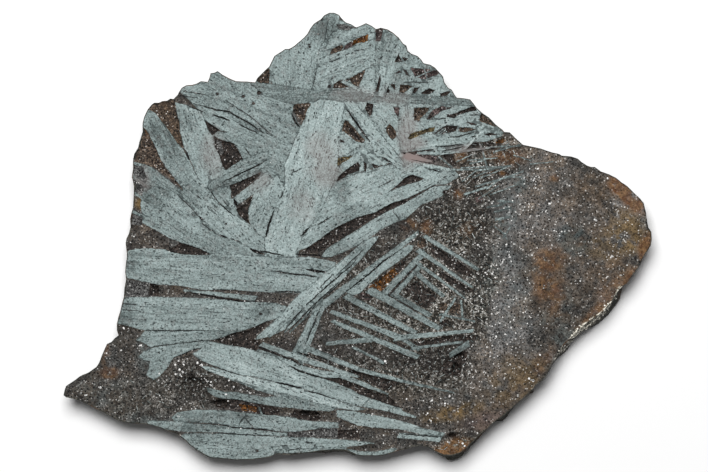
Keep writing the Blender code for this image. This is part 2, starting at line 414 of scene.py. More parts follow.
# The blades at the west end, from the oldest to the one on top
WEST_BLADES: tuple[Shape, ...] = (
    Plate(-27, -0.3, (
        -45, 37, -34, 41, -24, 38, -19, 33, -15.6, 31.8, -15.9, 29.5, -14.3, 27, -13.3, 26.5, -16, 20,
        -17.6, 11.5, -23, 14.4, -31, 12.2, -33, 16, -38, 30)),
    Plate(-33, -0.05, (
        -56, 18, -51.5, 17.6, -50, 17, -45.3, 13.4, -42, 10.4, -39.5, 7.4, -37.2, 3.6, -33.9, 0.6,
        -28, -1.8, -24, -3.6, -22, -4.9, -35.2, -4.3, -37.8, -3.2, -40.2, -2.5, -42.8, -1.3, -45.5, -0.3,
        -47.2, 0.6, -49.6, 2, -51.9, 3.2, -56, 4.6)),
    Plate(-45, 0, (
        -38, 13.6, -33.5, 14.5, -30.5, 12.4, -30.6, 9.4, -29, 6.3, -26.2, 2.8, -25.2, 2, -30.9, 5.5,
        -35.6, 10.3)),
    Plate(-42, 0.15, (
        -44.4, 14.3, -41.5, 12, -38.6, 14.2, -36.2, 11.6, -35.4, 10.5, -33.6, 8.3, -30.9, 5.9, -28.4, 4.2,
        -25.2, 2.2, -22, -0.5, -18, -3.2, -20, -4.6, -24, -3.6, -28, -1.8, -33.9, 0.6, -37.2, 3.6,
        -39.5, 6.9, -42, 9.3)),
    Plate(-60, -0.1, (
        -53, 32, -49.4, 30.4, -45.6, 25.6, -42.1, 20.9, -40.5, 18.2, -38.6, 14.2, -41.5, 12, -44.4, 14.3,
        -46.3, 16.6, -47.3, 18.3, -48.6, 21, -50.2, 24.2, -51.5, 26.4, -53, 27)),
    Plate(-70, 0.15, (
        -44, 32.2, -43.6, 30, -43, 27, -42.8, 25.2, -41.9, 21.6, -40.3, 18.3, -38.6, 14.2, -36, 11.2,
        -31.2, 12, -31.9, 15.8, -32.7, 17.1, -33.4, 19.4, -34.4, 21.5, -35, 23.8, -35.8, 25.3,
        -36.9, 27.9, -38, 30, -40.5, 31.4)),
    Plate(65, 0.2, (
        -25.2, 10.2, -22, 13, -19.5, 15, -17.7, 11.5, -19.4, 8.2, -21.2, 4, -22.4, -0.5, -25.5, 1.7,
        -26.2, 3.5, -26.5, 6)),
    Plate(75, 0.5, (
        -11.4, 33.4, -3, 33.6, -4.4, 25, -5, 18.5, -5.9, 13.2, -8.6, 7, -11, 3.4, -13.6, -0.5,
        -14.6, -5.2, -22.6, -4.9, -22.4, -0.8, -21.2, 4, -19.4, 8.2, -17.6, 11.5, -17.8, 17,
        -13.4, 27.6)),
    Plate(-3, 0.05, (
        -57, -3.9, -53.4, -2.9, -49.6, -2.8, -46.6, -3.1, -42.5, -4.1, -35.5, -4.2, -29, -4.4, -22, -4.9,
        -12, -4.9, -8, -5.5, -5.3, -6.3, -6, -8, -9, -11, -12.8, -13.6, -16, -13.6, -22, -13.4,
        -29.3, -12.9, -37.8, -12.8, -40.5, -12.3, -43.7, -11.7, -48.4, -11.5, -52.2, -10.7, -55, -10,
        -57, -9.8)),
    Plate(-1, 0.1, (
        -58.5, -14.9, -54.6, -14.5, -48.4, -14.5, -39.6, -14.7, -33.7, -15, -29.3, -15.5, -24.4, -15.7,
        -19.5, -15.9, -16.6, -17, -17.8, -19, -20.4, -19.9, -22.3, -20.4, -25.2, -21.8, -28, -22.6,
        -35.2, -22.5, -51.3, -22.6, -54, -21.8, -57, -21, -59.5, -20.8)),
    Plate(4, 0.05, (
        -51.3, -22.6, -35.2, -22.5, -28, -22.7, -30.2, -23.2, -32.6, -24.2, -35.2, -24.9, -39.6, -25.2,
        -43.7, -25.7, -50, -26.5, -51.5, -25.5, -53.5, -24.8, -52.5, -24)),
    Plate(17, -0.05, (
        -52.9, -28.9, -51.5, -27.6, -49.8, -26.7, -43.7, -25.8, -39.6, -25.2, -35.5, -25, -36.5, -26.2,
        -37.5, -26.6, -40, -27.3, -42.3, -28.3, -44.4, -29.2, -45.2, -30.6, -46.4, -32.1, -47.6, -33.3,
        -49.1, -34.5, -50.9, -33.4, -50.3, -31.5, -50, -29.8, -51.5, -29.6)),
    Plate(-14, -0.25, (
        -36.6, -36.2, -35.4, -35, -34.5, -33.4, -30.2, -34.4, -25.2, -35.9, -19.9, -37.3, -15.2, -38.4,
        -9.9, -39.9, -5, -41.2, -7, -42, -12, -41.6, -19.2, -40.9, -24, -40.1, -29, -39.4, -32, -39.1,
        -34.6, -38.4, -36.2, -37.3)),
    Pocket(Fill.GROUND, (
        -37.4, -33.1, -33.2, -33.6, -29.3, -34.9, -25.1, -36.7, -20, -38.3, -22.4, -38.6, -26.3, -37.9,
        -29.3, -37.3, -32.3, -37.2, -35.4, -36.4, -37.4, -36)),
    Plate(-19, 0.5, (
        -40, -28.2, -37.3, -26.6, -35.3, -25.2, -30.2, -26.2, -25.2, -27.2, -19.9, -28.8, -16.7, -31,
        -13.5, -32.5, -7.6, -34.3, -4.7, -35.4, -1.7, -36.7, 0, -37.7, 3.8, -39.2, 7.1, -40.3,
        10.5, -41.4, 10.5, -42.6, 5, -41.6, -1.7, -40.4, -5.8, -38.9, -9.7, -37.7, -13.5, -36.5,
        -17.6, -35.5, -24.9, -33.7, -28.4, -33.2, -31.1, -32.4, -34, -31.3, -37.6, -29.8)),
    *laths((2, -39.6, 13.8, -43.4, 2.6, 0.5, 0.3)),
    Plate(-17, 0.85, (
        -38, -30.9, -34, -31.6, -28.4, -33.3, -24.9, -33.8, -17.6, -35.6, -13.5, -36.6, -9.7, -37.8,
        -5.8, -39, -1.7, -40.5, 2, -41.4, -0.6, -41.9, -5, -41.2, -9.9, -39.9, -15.2, -38.4, -19.9, -37.3,
        -25.2, -35.9, -30.2, -34.3, -34, -33.1, -36.5, -32.2)),
)

# The blades along the belly
SOUTH_BLADES: tuple[Shape, ...] = (
    Plate(-3, 0.05, (
        -45, -43.4, -43.4, -42.2, -38.8, -41.5, -31, -41.8, -25.2, -42.5, -19, -43, -16, -43.4,
        -12, -44.3, -8, -44.4, -4.9, -44.6, -4.7, -45.9, -11, -46.3, -15, -46.9, -19.9, -46.7,
        -23.7, -46.2, -30, -45.7, -34, -44.9, -40, -44.6, -44, -44.5)),
    Plate(-4, 0.1, (
        -51, -44.1, -44, -44.3, -40, -44.8, -34, -45.2, -30, -45.9, -23.7, -46.5, -19.9, -46.9,
        -15, -47.2, -15, -48, -20, -47.9, -26, -47.6, -33, -47, -41.6, -47, -46, -46.2, -50, -45.2)),
    Plate(-3, 0.2, (
        -43.2, -48, -41.6, -47.2, -33, -47.3, -25, -47.8, -15, -48.2, -10, -48.3, -5, -48.6, 2, -49.2,
        4, -49.6, -2, -50.5, -10, -51.3, -19, -52, -21, -54, -30, -54.5, -38, -53)),
    *laths((-20, -51.6, -3, -51, 1, 0.8, -0.1)),
    Plate(-10, 0.4, (
        -5.3, -41.6, -0.9, -42, 4.1, -42.9, 10, -44.1, 15.3, -45.9, 20.8, -47.2, 20.2, -48, 15, -47.4,
        9.5, -46.2, 4.1, -45.9, -0.3, -45.3, -2.4, -44.4, -5.2, -43.3)),
    *laths((9.5, -47.7, 19.8, -48.6, 1.2, 1.6, 0.25)),
    Plate(8, 0.1, (
        -2.8, -50.9, 0.5, -51.5, 4, -51.7, 8.6, -50.6, 9.4, -51, 6, -52.8, 2, -53.6, -0.8, -53)),
    *laths((-42, -12.9, -24.5, -14.9, 0.6, 1.4, 0.05)),
)

# The blades under the crest and in the middle
NORTH_BLADES: tuple[Shape, ...] = (
    Plate(20, 0.05, (-12, 35.3, -11.5, 46, -5, 52, 4, 52, 12, 46, 14, 40, 6, 34, -4, 34.5)),
    Plate(82, -0.2, (
        -22, 42, -21, 37.2, -20.2, 36.3, -11.2, 35.2, -10.4, 39.5, -9.2, 45.5, -5, 50.5, -4, 55, -12, 55,
        -20, 46)),
    Plate(22, -0.25, (-8.5, 44.5, -6.8, 44.9, -3.8, 46.7, 2.3, 48.7, 4, 50.5, 1, 52, -5, 50.3)),
    Plate(21, 0, (
        -10.8, 36.3, -10.2, 40, -8.7, 42.7, -6.7, 43.7, 0, 46, 5, 48, 9, 50, 10, 47, 9, 45, 6, 42,
        1.8, 40.1, -2.2, 38)),
    Plate(75, -0.15, (4, 52, 5, 50, 12, 46, 16, 42, 21, 38, 23, 35, 24, 33.5, 4, 34)),
    Plate(-50, 0.25, (-5.9, 13.2, -5, 18.5, -4.4, 25, -3, 33.6, 13, 32, 12, 19, 5, 17)),
    Plate(9, 0.15, (
        10, 32, 28, 32, 29.8, 30.2, 30.5, 28, 34.8, 25, 34.5, 24.2, 31, 22.9, 28, 22.6, 26, 22,
        24.6, 20.1, 18, 19.4, 10, 20)),
    Plate(27, 0.2, (
        -15, -3.8, -13.6, -0.5, -11, 3.4, -8.6, 7, -5.9, 13.2, -3.5, 14, 0.2, 15.2, 5, 16.7, 9.5, 17.6,
        12, 19.5, 16, 17.5, 23, 16, 24.5, 14.5, 21, 12.5, 18.2, 12.5, 15, 10.8, 11.2, 9, 7.7, 7.9,
        3.9, 5.8, -0.5, 4.6, -5.2, 2.3, -10.2, -1.2, -12.3, -2.6)),
    Plate(28, 0.25, (
        -9, -4.9, -7.6, -2.9, -3.5, -0.3, 0.3, 2.1, 3.9, 4.4, 8, 6.5, 11.2, 8, 15, 10.3, 18, 12,
        22.5, 12.4, 20, 9.6, 17.7, 8.6, 15, 7.5, 11.2, 4.2, 8.3, 3.1, 5, 1.4, 0.9, -1.6, -2.6, -3.4,
        -6.4, -4.9)),
    Plate(-2, -0.7, (
        -27, 37.6, -24, 37.1, -19.9, 36.5, -15.2, 35.6, -10.5, 35.2, -5.8, 35.2, -1.7, 35.6, 0.6, 34.5,
        5, 34.05, 12, 34.1, 20, 33.6, 24, 33.6, 29, 33, 28.3, 31.1, 23, 31.6, 12, 31.9, 5, 32.15,
        -3.2, 32.4, -9, 32.9, -11.1, 32.2, -15.6, 31.8, -19, 32.6, -23, 34)),
    *laths(
        (-36, 14.2, -21.6, 19.8, 3, 1.6, -0.3), (-35.5, 12.2, -21.5, 17.9, 2.4, 1.6, -0.35),
        (-31, 7.4, -21.5, 14.2, 1.7, 2.8, 0.1), (-2.5, 32.5, 10.5, 16.5, 2.2, 2.2, 0.3),
        (10.5, 31.5, 11.2, 20.5, 2.6, 2.6, -0.1), (5.5, 33.5, 5.8, 41, 1.5, 1.6, 0.35),
        (-5.3, 17.8, 0.5, 21.2, 0.8, 1, 0.3), (0.5, 19.8, 2.5, 15.5, 0.9, 0.9, 0.3),
        (2, 19.6, 4.2, 15.8, 0.8, 0.9, 0.3), (2.5, 20, 6.5, 17, 0.8, 0.8, 0.3),
        (3.5, 20.6, 10.5, 16.6, 1, 1.2, 0.4),
    ),
)

# The hollows and gaps of the north and the middle
NORTH_POCKETS: tuple[Shape, ...] = (
    *pockets(
        Fill.BROWN,
        (-50.6, 30.6, -49.6, 32.3, -44, 33.4, -44.1, 31.7, -43.7, 29.1, -43, 27.6, -43, 25.3, -42.1, 21.7,
         -41.6, 20.6, -43.3, 22.3, -45, 24.7, -47.1, 27.6, -48.8, 29.7),
        (-52.3, 26.6, -51.3, 26, -50, 24, -48.6, 21.3, -47.6, 18.9, -46.8, 16.9, -45.6, 15.4, -44.3, 14,
         -42.4, 11.8, -42.2, 10.9, -43.6, 12.6, -45.6, 14.3, -48.8, 16.4, -51.5, 17.4, -54.5, 18,
         -54.8, 20.2, -53.2, 22.6),
    ),
    Pocket(Fill.GREY, (
        -56, 17.4, -51.8, 16.8, -50.8, 14, -51.8, 10.6, -52.4, 7.4, -51.7, 4.6, -52, 2.6, -56, 3)),
    *laths(
        (-54.8, 14.8, -50, 11.4, 0.8, 0.9, -0.45), (-55, 6.4, -51, 4.6, 0.7, 0.8, -0.4),
        (-54, 10.6, -50.4, 8.2, 0.7, 0.5, -0.2),
    ),
    *pockets(
        Fill.DARK,
        (-37, 28, -33.1, 25.5, -31.2, 25, -33.8, 25.3, -35.2, 24.2, -36, 25.5),
        (-34.7, 24.1, -32.7, 23.1, -29.9, 22.4, -28.9, 20.9, -27.7, 18.7, -29.7, 17.4, -31.8, 15.9,
         -32.7, 17.1, -33.4, 19.4, -34.4, 21.5),
    ),
    Pocket(Fill.GREY, (-34.3, 23.3, -32.9, 22.8, -32.3, 19.8, -33.2, 19.4, -34, 21.4)),
    *pockets(
        Fill.DARK,
        (-30.9, 12.3, -28.3, 13.3, -25.3, 14.6, -23.4, 15.5, -23.6, 14.7, -25.6, 13.1, -27.7, 11.2,
         -30, 9.5, -30.6, 10.9),
        (-25.5, 9.5, -27.1, 8, -29.3, 6.5, -28.6, 5.1, -27.1, 3.6, -26.4, 3, -26.7, 5.1, -26.1, 7.4),
    ),
    *slits((0.85, 0.85, -30, 9, -29.1, 7.1)
),
    Pocket(Fill.BROWN, (
        -15.5, 31.7, -11.4, 32, -12.3, 30.2, -13, 28, -13.8, 27.9, -14.9, 29.1, -15.7, 30.2)),
    Pocket(Fill.DARK, (-14.6, 31, -12.6, 31, -13.2, 28.9, -14.4, 29.7)),
    *slits((0.42, 0.42, -16, 29.4, -15.2, 27.5, -14, 26.2)
),
    Pocket(Fill.BROWN, (-24.6, 37.1, -24.3, 38, -21.4, 40.4, -21.5, 36.7)),
    *laths((-21, 40, -21.3, 36.8, 0.35, 0.35, 0.3)),
    Pocket(Fill.BROWN, (-6.9, 43.8, -6.3, 45.1, -4, 46, -3.5, 45.4, -4.2, 44.5)),
    Pocket(Fill.PLUM, (-3.6, 44.7, -3.2, 45.9, -1.7, 46.9, -1.1, 46.2, -1.9, 45.3)),
    Pocket(Fill.RUST, (-1.5, 45.7, -1.3, 47.1, 2.4, 48.6, 2.2, 46.9, 1.2, 46.5, 0.2, 46.5)),
    Pocket(Fill.PLUM, (4.1, 46.9, 4.2, 49.5, 5, 50.4, 6, 50.1, 5.7, 48.5, 5.2, 46.9)),
    *laths((6.3, 50.2, 5.6, 46.9, 0.5, 0.3, 0.3)),
    Pocket(Fill.GREY, (-5.4, 51, -3.4, 51, -0.9, 50.2, -2.6, 49.5, -4.6, 49.8)),
    *pockets(
        Fill.BROWN,
        (-2.3, 37.9, 1.7, 40.1, 1, 38.2, 0.1, 36.1, -0.3, 35.8, -1, 35.9),
        (-6.2, 35.6, -6, 36.6, -5, 37.3, -4, 37.6, -3.5, 36.8, -2.3, 35.8, -3.5, 35.7, -5.5, 35.5),
    ),
    *pockets(
        Fill.DARK,
        (-7.6, 35.7, -7.3, 36.4, -6.8, 36.6, -6.7, 35.7),
        (-3.6, 37.4, -2.5, 38, -2.1, 37.6, -2.6, 37.3),
        (6.7, 34.5, 6.9, 36, 7.6, 35.2, 7.3, 34.5),
        (1.9, 32, 3.7, 31.85, 3.4, 30, 2.8, 28.6, 2.2, 29.7, 1.6, 30.5),
    ),
    Pocket(Fill.PLUM, (8.2, 31, 9.9, 31, 9.6, 28.6, 9.1, 29.1)),
    Pocket(Fill.BROWN, (
        -3.2, 28, -2.3, 27.7, -0.5, 25.4, 1.45, 23.2, 1.2, 22.5, -0.7, 22.7, -3.5, 24.8, -3.9, 25.2,
        -3.7, 26.7)),
    Pocket(Fill.DARK, (-2.4, 26.4, -1.6, 26, 0.4, 23.4, -0.6, 23.2, -2.2, 25)),
    *laths((-3.8, 25.2, -0.8, 22.6, 0.45, 0.4, 1)),
    Pocket(Fill.DARK, (-4.4, 23.5, -3.2, 22.6, -4.4, 22.5)),
    Pocket(Fill.BROWN, (
        7.5, 27.1, 6.65, 26.2, 6.65, 25.1, 7.5, 23.6, 8.4, 23.3, 9.15, 24.2, 9, 25.2, 8.3, 26.2)),
    Pocket(Fill.OCHRE, (
        11.8, 23.5, 12.4, 24.5, 14.6, 25.4, 16.4, 25.9, 16.6, 25, 14.6, 24.3, 12.5, 23.3)),
    Pocket(Fill.DARK, (10.3, 20.1, 14.1, 20.5, 17.9, 21, 17.9, 20.7, 15, 20, 11.5, 19.6)),
    Pocket(Fill.PLUM, (10.9, 18.9, 12.1, 19.8, 15, 20, 18.8, 19.3, 19, 18.9, 17.1, 17.6, 13.8, 18.1)),
    *laths((11, 19.5, 17.6, 18, 1.7, 0.5, -0.9)),
    Pocket(Fill.OCHRE, (-4.9, 18.9, -2.6, 19.2, -1.3, 19.5, -2.3, 18.6, -3.8, 17.7, -5.2, 16.7)),
    *pockets(
        Fill.DARK,
        (-5.2, 13.3, -4.9, 14.2, -2.9, 16.1, -0.2, 18, 0.35, 17, 0.2, 15.8, -2.3, 14.8, -3.5, 14.1,
         -4.6, 13.5),
        (1.2, 18, 1.96, 17.4, 1.8, 15.5, 1.4, 15.8),
        (3, 17.7, 4.9, 17, 3.7, 16.3),
        (11.05, 14.1, 12.96, 14.95, 15.6, 13.8, 13.8, 13, 10, 12, 7.4, 10.8, 10, 13),
        (-12.3, -2.65, -10.2, -1.3, -5.2, 2.2, -0.5, 4.5, 3.9, 5.7, 7.7, 7.8, 11.2, 8.9, 15, 10.7,
         18.2, 12.45, 17.9, 12, 15, 10.4, 11.2, 8.05, 8, 6.6, 3.9, 4.5, 0.3, 2.2, -3.5, -0.2, -7.6, -2.8,
         -9.9, -4, -12.9, -4),
        (8.6, 41.8, 9.6, 43.8, 10.6, 41.9),
        (10.5, 43.1, 12, 42.7, 11.1, 42),
        (8.3, 39, 9.9, 39.8, 10.4, 39.3),
        (10.5, 40.2, 11.5, 39.9, 12.3, 38.5, 11.4, 38.9),
    ),
    Pocket(Fill.PLUM, (12.5, 40.5, 15.5, 40.3, 19.4, 39.8, 19, 38.6, 17.2, 37.6, 15, 37.9, 13.6, 38.4)),
    Pocket(Fill.DARK, (13.4, 39.8, 15.6, 39.5, 15, 38.3, 14, 38.6)),
    *laths(
        (13.8, 38.2, 18.9, 40.5, 0.35, 0.3, 0.2), (16, 37.5, 19.9, 39, 0.4, 0.3, 0.2),
        (15.6, 40.6, 16.6, 37.7, 0.3, 0.25, 0.1),
    ),
    Pocket(Fill.DARK, (7.6, 36.6, 8.8, 36.6, 8.9, 35.2, 8.2, 35.7)),
    Pocket(Fill.BROWN, (9.9, 36.4, 11.7, 36.4, 13, 36.1, 11.8, 35.2, 10.5, 34.3, 9.8, 34.9)),
    *pockets(
        Fill.DARK,
        (13.3, 35.7, 14.6, 35.8, 13.6, 34.2, 13, 34.3),
        (14.8, 34.3, 17, 35.6, 18.4, 35, 16.9, 34.1),
        (19.6, 34.3, 21.1, 34.8, 22.2, 34.9, 21.1, 33.8, 19.6, 33.6),
        (5.3, 39.1, 4.1, 34.8, 4.8, 34.8, 5.4, 37.5),
    ),
    Pocket(Fill.BROWN, (13.3, 30.8, 16.1, 31.1, 17, 31, 16.1, 29.4, 14.6, 27.7, 13.3, 27.9)),
    Pocket(Fill.PLUM, (
        16.3, 28.1, 17.3, 29.7, 18.2, 30.6, 20, 31.3, 21, 31, 21.1, 30.4, 20, 30.2, 18.8, 29.2,
        17.2, 28.2)),
    *pockets(
        Fill.DARK,
        (16.5, 28.2, 17.5, 29.5, 18.3, 29.6, 17.4, 28.4),
        (21.2, 31, 22.8, 31.2, 22, 30.7, 21.2, 30.4),
        (21.4, 29.4, 21.3, 28.7, 22.8, 28.4, 24, 29.2, 26, 29.8, 28.3, 30.3, 28.5, 31, 27.2, 31.2,
         25.8, 30.6, 24, 29.9, 22.5, 29.4),
    ),
    Pocket(Fill.BROWN, (
        28.9, 27.9, 29.1, 28.8, 29.6, 29.8, 30.2, 29.4, 31, 28.9, 33.2, 27, 32.4, 26.2, 31, 26.7,
        29.8, 27.3)),
    *pockets(
        Fill.DARK,
        (25.8, 27.4, 27.6, 27.3, 28.4, 26.8, 27, 26.7),
        (32.5, 26.4, 34.6, 25.6, 33.8, 25.9, 33, 26.6),
    ),
    Pocket(Fill.OCHRE, (16, 25.9, 18.3, 26.2, 18, 25.2, 16, 24.9)),
    Pocket(Fill.DARK, (18.1, 24.6, 20.1, 26.2, 21.2, 26.7, 23.8, 26.5, 23.4, 25.3, 21, 24.8, 19.6, 24.5)),
    Pocket(Fill.BROWN, (24, 25.3, 24.2, 26.2, 26, 26.2, 28.3, 25.7, 26.5, 25.2, 25, 25.1)),
    Pocket(Fill.DARK, (30.2, 24.5, 31.4, 24.9, 33.6, 24.5, 31, 24.2)),
    Pocket(Fill.RUST, (32.8, 22.7, 33.6, 23.2, 34.9, 23.7, 35.4, 23, 34.6, 22.4, 33, 22.4)),
    *pockets(
        Fill.DARK,
        (29.2, 22.2, 30, 22.7, 31.5, 22.7, 33.1, 22.3, 34, 21.8, 31, 21.7),
        (26.2, 21.4, 26.9, 22.3, 28.9, 22.6, 29, 21.5, 27.6, 21.1),
        (20.2, 19.6, 23, 19.9, 23.4, 17.1, 22.6, 16.8, 20.8, 18.7),
        (24.4, 19.8, 26.8, 19.8, 26.8, 18.9, 24.7, 19.1),
        (32.7, 15.7, 36.3, 15.4, 36.1, 14.7, 33.5, 14.8),
        (26.9, 13.2, 28.3, 14.2, 28.9, 13.6, 27.6, 12.7),
        (26.3, 10.1, 28.4, 10.7, 30.1, 10.5, 28, 9.8),
    ),
    Pocket(Fill.PLUM, (28, 9.4, 30.1, 9.8, 29.7, 8, 28.3, 8.2)),
    Pocket(Fill.DARK, (20, 10.6, 21, 11.3, 21.9, 10.9, 20.9, 10.1)),
)

# The fine blades that fan out over the hollows of the north-east
EAST_LATHS: tuple[Shape, ...] = laths(
    (-3.9, 37.4, 0.5, 35, 0.9, 0.9, 0.4), (27.6, 27.9, 34.5, 25.4, 0.5, 0.4, 0.65),
    (28.4, 27, 33.9, 24.9, 0.35, 0.4, 0.4), (18.6, 24.4, 20.4, 25.9, 0.25, 0.25, 0.5),
    (19.2, 24.3, 20.9, 25.7, 0.25, 0.25, 0.5), (20, 24.2, 21.3, 25.3, 0.25, 0.2, 0.5),
    (24.9, 20.5, 30, 25.4, 0.55, 0.6, 0.75), (15.3, 17.3, 22.8, 15.8, 1, 0.7, 0.8),
    (19.4, 19.1, 22.5, 16.5, 0.4, 0.4, 0.4), (14, 19.9, 24.4, 20.4, 0.8, 0.6, 0.45),
    (24, 20.4, 31.4, 21.4, 0.7, 0.35, 0.25), (30.6, 21.3, 34.4, 21.7, 0.35, 0.3, 0.2),
    (29.1, 22.3, 29.6, 21, 0.4, 0.4, 0.3), (29.8, 20.6, 30.9, 16.3, 0.5, 0.45, 0.15),
    (32.3, 20, 36.2, 22.3, 0.4, 0.3, 0.3), (22.5, 16.1, 30, 16, 0.4, 0.45, 0.4),
    (28.4, 15.8, 36.6, 17, 0.5, 0.4, 0.85), (14.8, 28, 17.9, 30.8, 0.35, 0.3, 0.6),
    (26.6, 17.4, 30, 18.2, 0.35, 0.3, 0.2), (27.3, 14.1, 32.4, 16.1, 0.35, 0.3, 0.35),
    (28, 12, 33.4, 13.5, 0.5, 0.45, 0.95), (33.1, 13.4, 39.7, 15.7, 0.45, 0.35, 1),
    (25.2, 10.1, 31, 11.9, 0.5, 0.5, 0.85), (30.6, 11.4, 34.3, 13.8, 0.4, 0.3, 0.8),
    (35.1, 14.4, 39.2, 14.2, 0.4, 0.3, 0.3), (19.6, 19.7, 31.6, 21.3, 0.35, 0.3, 0.85),
    (32.8, 20.3, 39.2, 22.2, 0.35, 0.25, 0.75), (31.6, 21.5, 38.9, 21.7, 0.3, 0.25, 0.3),
    (24.4, 16.5, 36.8, 16.9, 0.3, 0.25, 0.2), (29.2, 14, 36.4, 16.9, 0.35, 0.25, 0.4),
    (41.2, 17.4, 46.8, 18, 0.3, 0.25, 0.35), (37.2, 19.6, 41.4, 18.2, 0.3, 0.25, 0.25),
    (24.8, 13.2, 28.6, 16, 0.3, 0.25, 0.15), (23.4, 17.9, 27.8, 19.9, 0.3, 0.25, 0.25),
    (26, 18.2, 33.4, 18.9, 0.3, 0.25, 0.3), (28.8, 9, 33.8, 12.2, 0.3, 0.25, 0.2),
    (31.6, 10, 38.4, 12.6, 0.3, 0.25, 0.25), (30.8, 7, 34.4, 7.6, 0.4, 0.5, -0.05),
    (33.4, 8.6, 37.4, 8.2, 0.5, 0.3, -0.05), (32.4, 5.8, 36.8, 7, 0.4, 0.5, -0.1),
    (32.8, 4, 36.2, 4.6, 0.7, 0.4, -0.1), (34, 1.8, 35.6, -0.8, 0.3, 0.25, 0.1),
    (36.4, 2.2, 34.6, -0.6, 0.3, 0.25, 0.1), (32.6, 2.4, 35.2, 0.6, 0.3, 0.25, 0.05),
)

# The blades that cross the middle from the south-west to the north-east
DIAGONAL_BLADES: tuple[Shape, ...] = (
    *laths((-14.8, -29.6, -8.4, -15.1, 3.6, 2.2, 0.15)),
    Plate(44, 0.5, (
        -24.9, -24.8, -24.1, -23.7, -21.5, -21.4, -18.3, -18.5, -17, -16.7, -15.3, -14.7, -13.6, -13.3,
        -9.8, -10.3, -5.1, -6.5, -1.8, -3.9, 0.8, -1.5, 3.1, -0.2, 4.8, 0.1, 4.1, -1.2, 2.8, -2.9,
        0.4, -5.7, -1.4, -7.6, -3.5, -10, -4.9, -11.5, -7, -13.4, -9.2, -15.4, -12, -18, -14.5, -20.3,
        -17.5, -22.2, -21, -23.9)),
    *laths(
        (-21.6, -24.1, -13.5, -16.8, 0.5, 1.3, 0.3), (-17.8, -23, -9.5, -14.6, 0.3, 1.4, 0.2),
        (-16.6, -23.2, -8.5, -14.8, 0.3, 0.9, 0.1), (-8.4, -16.4, 14.4, 1, 1.9, 1, 0.05),
    ),
    Plate(36, 0.3, (
        -3.2, -13.4, -1, -11.9, 2, -9, 4, -7.1, 6.9, -5.1, 9.9, -3.3, 11.9, -2, 13.4, -2.2, 12.8, -3.4,
        11.6, -4.6, 8.7, -6.6, 5.8, -8.6, 3.8, -10.3, 2.2, -11.6, 0.5, -13.6, -1.2, -14.2)),
    *laths((5.4, -14.4, 16, -3.6, 1.5, 1.3, 0), (8.3, -14.3, 14.8, -7.2, 1.3, 1.1, -0.3)
),
)

# The nested lozenges of thin blades south-east of the middle
LOZENGE_LATHS: tuple[Shape, ...] = (
    *laths(
        (15.6, 0.2, 28.9, -8, 1.1, 0.8, -0.2), (14.2, -3.2, 27.4, -12.3, 1.2, 0.6, -0.15),
        (14.2, -6.4, 25.8, -15, 0.9, 0.5, -0.3), (13.6, -8.6, 20.5, -14.4, 1.2, 1, -0.5),
        (8, -13.6, 17.3, -19, 1.3, 1.2, -0.25), (2.4, -12.7, 19.6, -22.2, 2, 1.3, 0),
        (-3.2, -14.2, 13.8, -23.2, 1.6, 1.2, 0.1), (-6.8, -17.9, 10.5, -24.4, 1, 1.4, 0.1),
        (10.5, -24.4, 14.6, -27.3, 1.2, 0.8, 0.2), (-6.5, -20.2, 14.4, -29, 1, 1.5, 0.3),
        (-7.8, -25.7, 3.5, -24.7, 0.9, 1.4, -0.2), (-1.6, -26.4, 6.2, -30.4, 0.6, 0.7, 0.15),
        (8.5, -24.4, 27.6, -22.6, 1.4, 0.8, 0.25), (12.5, -26.9, 25, -25.3, 0.8, 0.6, 0.1),
        (21.8, -28.6, 26.6, -25.6, 1.2, 1.6, -0.3), (23.4, -14.6, 19.6, -20.4, 0.6, 0.6, 0),
        (24.6, -15.2, 24.9, -19.6, 0.5, 0.5, -0.1), (19.5, -18.6, 28, -20.4, 0.6, 0.4, -0.1),
    ),
    Plate(-19, 0.3, (
        -24, -26.9, -20.5, -28.2, -16.4, -29.7, -12.1, -31.4, -7.6, -32.3, -4, -32.6, -1, -34, 3, -35.7,
        7.3, -37.7, 6.9, -37.9, 2, -36.4, -1.5, -35, -4.7, -33.9, -7.6, -33.9, -9.7, -33.4, -13.5, -32.3,
        -16.7, -30.9, -19.9, -28.9, -24.5, -27.3)),
    *laths(
        (-23.5, -25.8, -12, -29.9, 1.2, 1.5, 0.2), (-12, -29.9, 0, -33.7, 1.5, 0.6, 0.2),
        (-12.5, -26.8, 0, -31.9, 1.5, 1.1, 0.25), (0, -31.9, 11, -34.8, 1.1, 0.8, 0.2),
        (11, -34.8, 23, -37.5, 0.8, 0.4, 0.15),
    ),
)

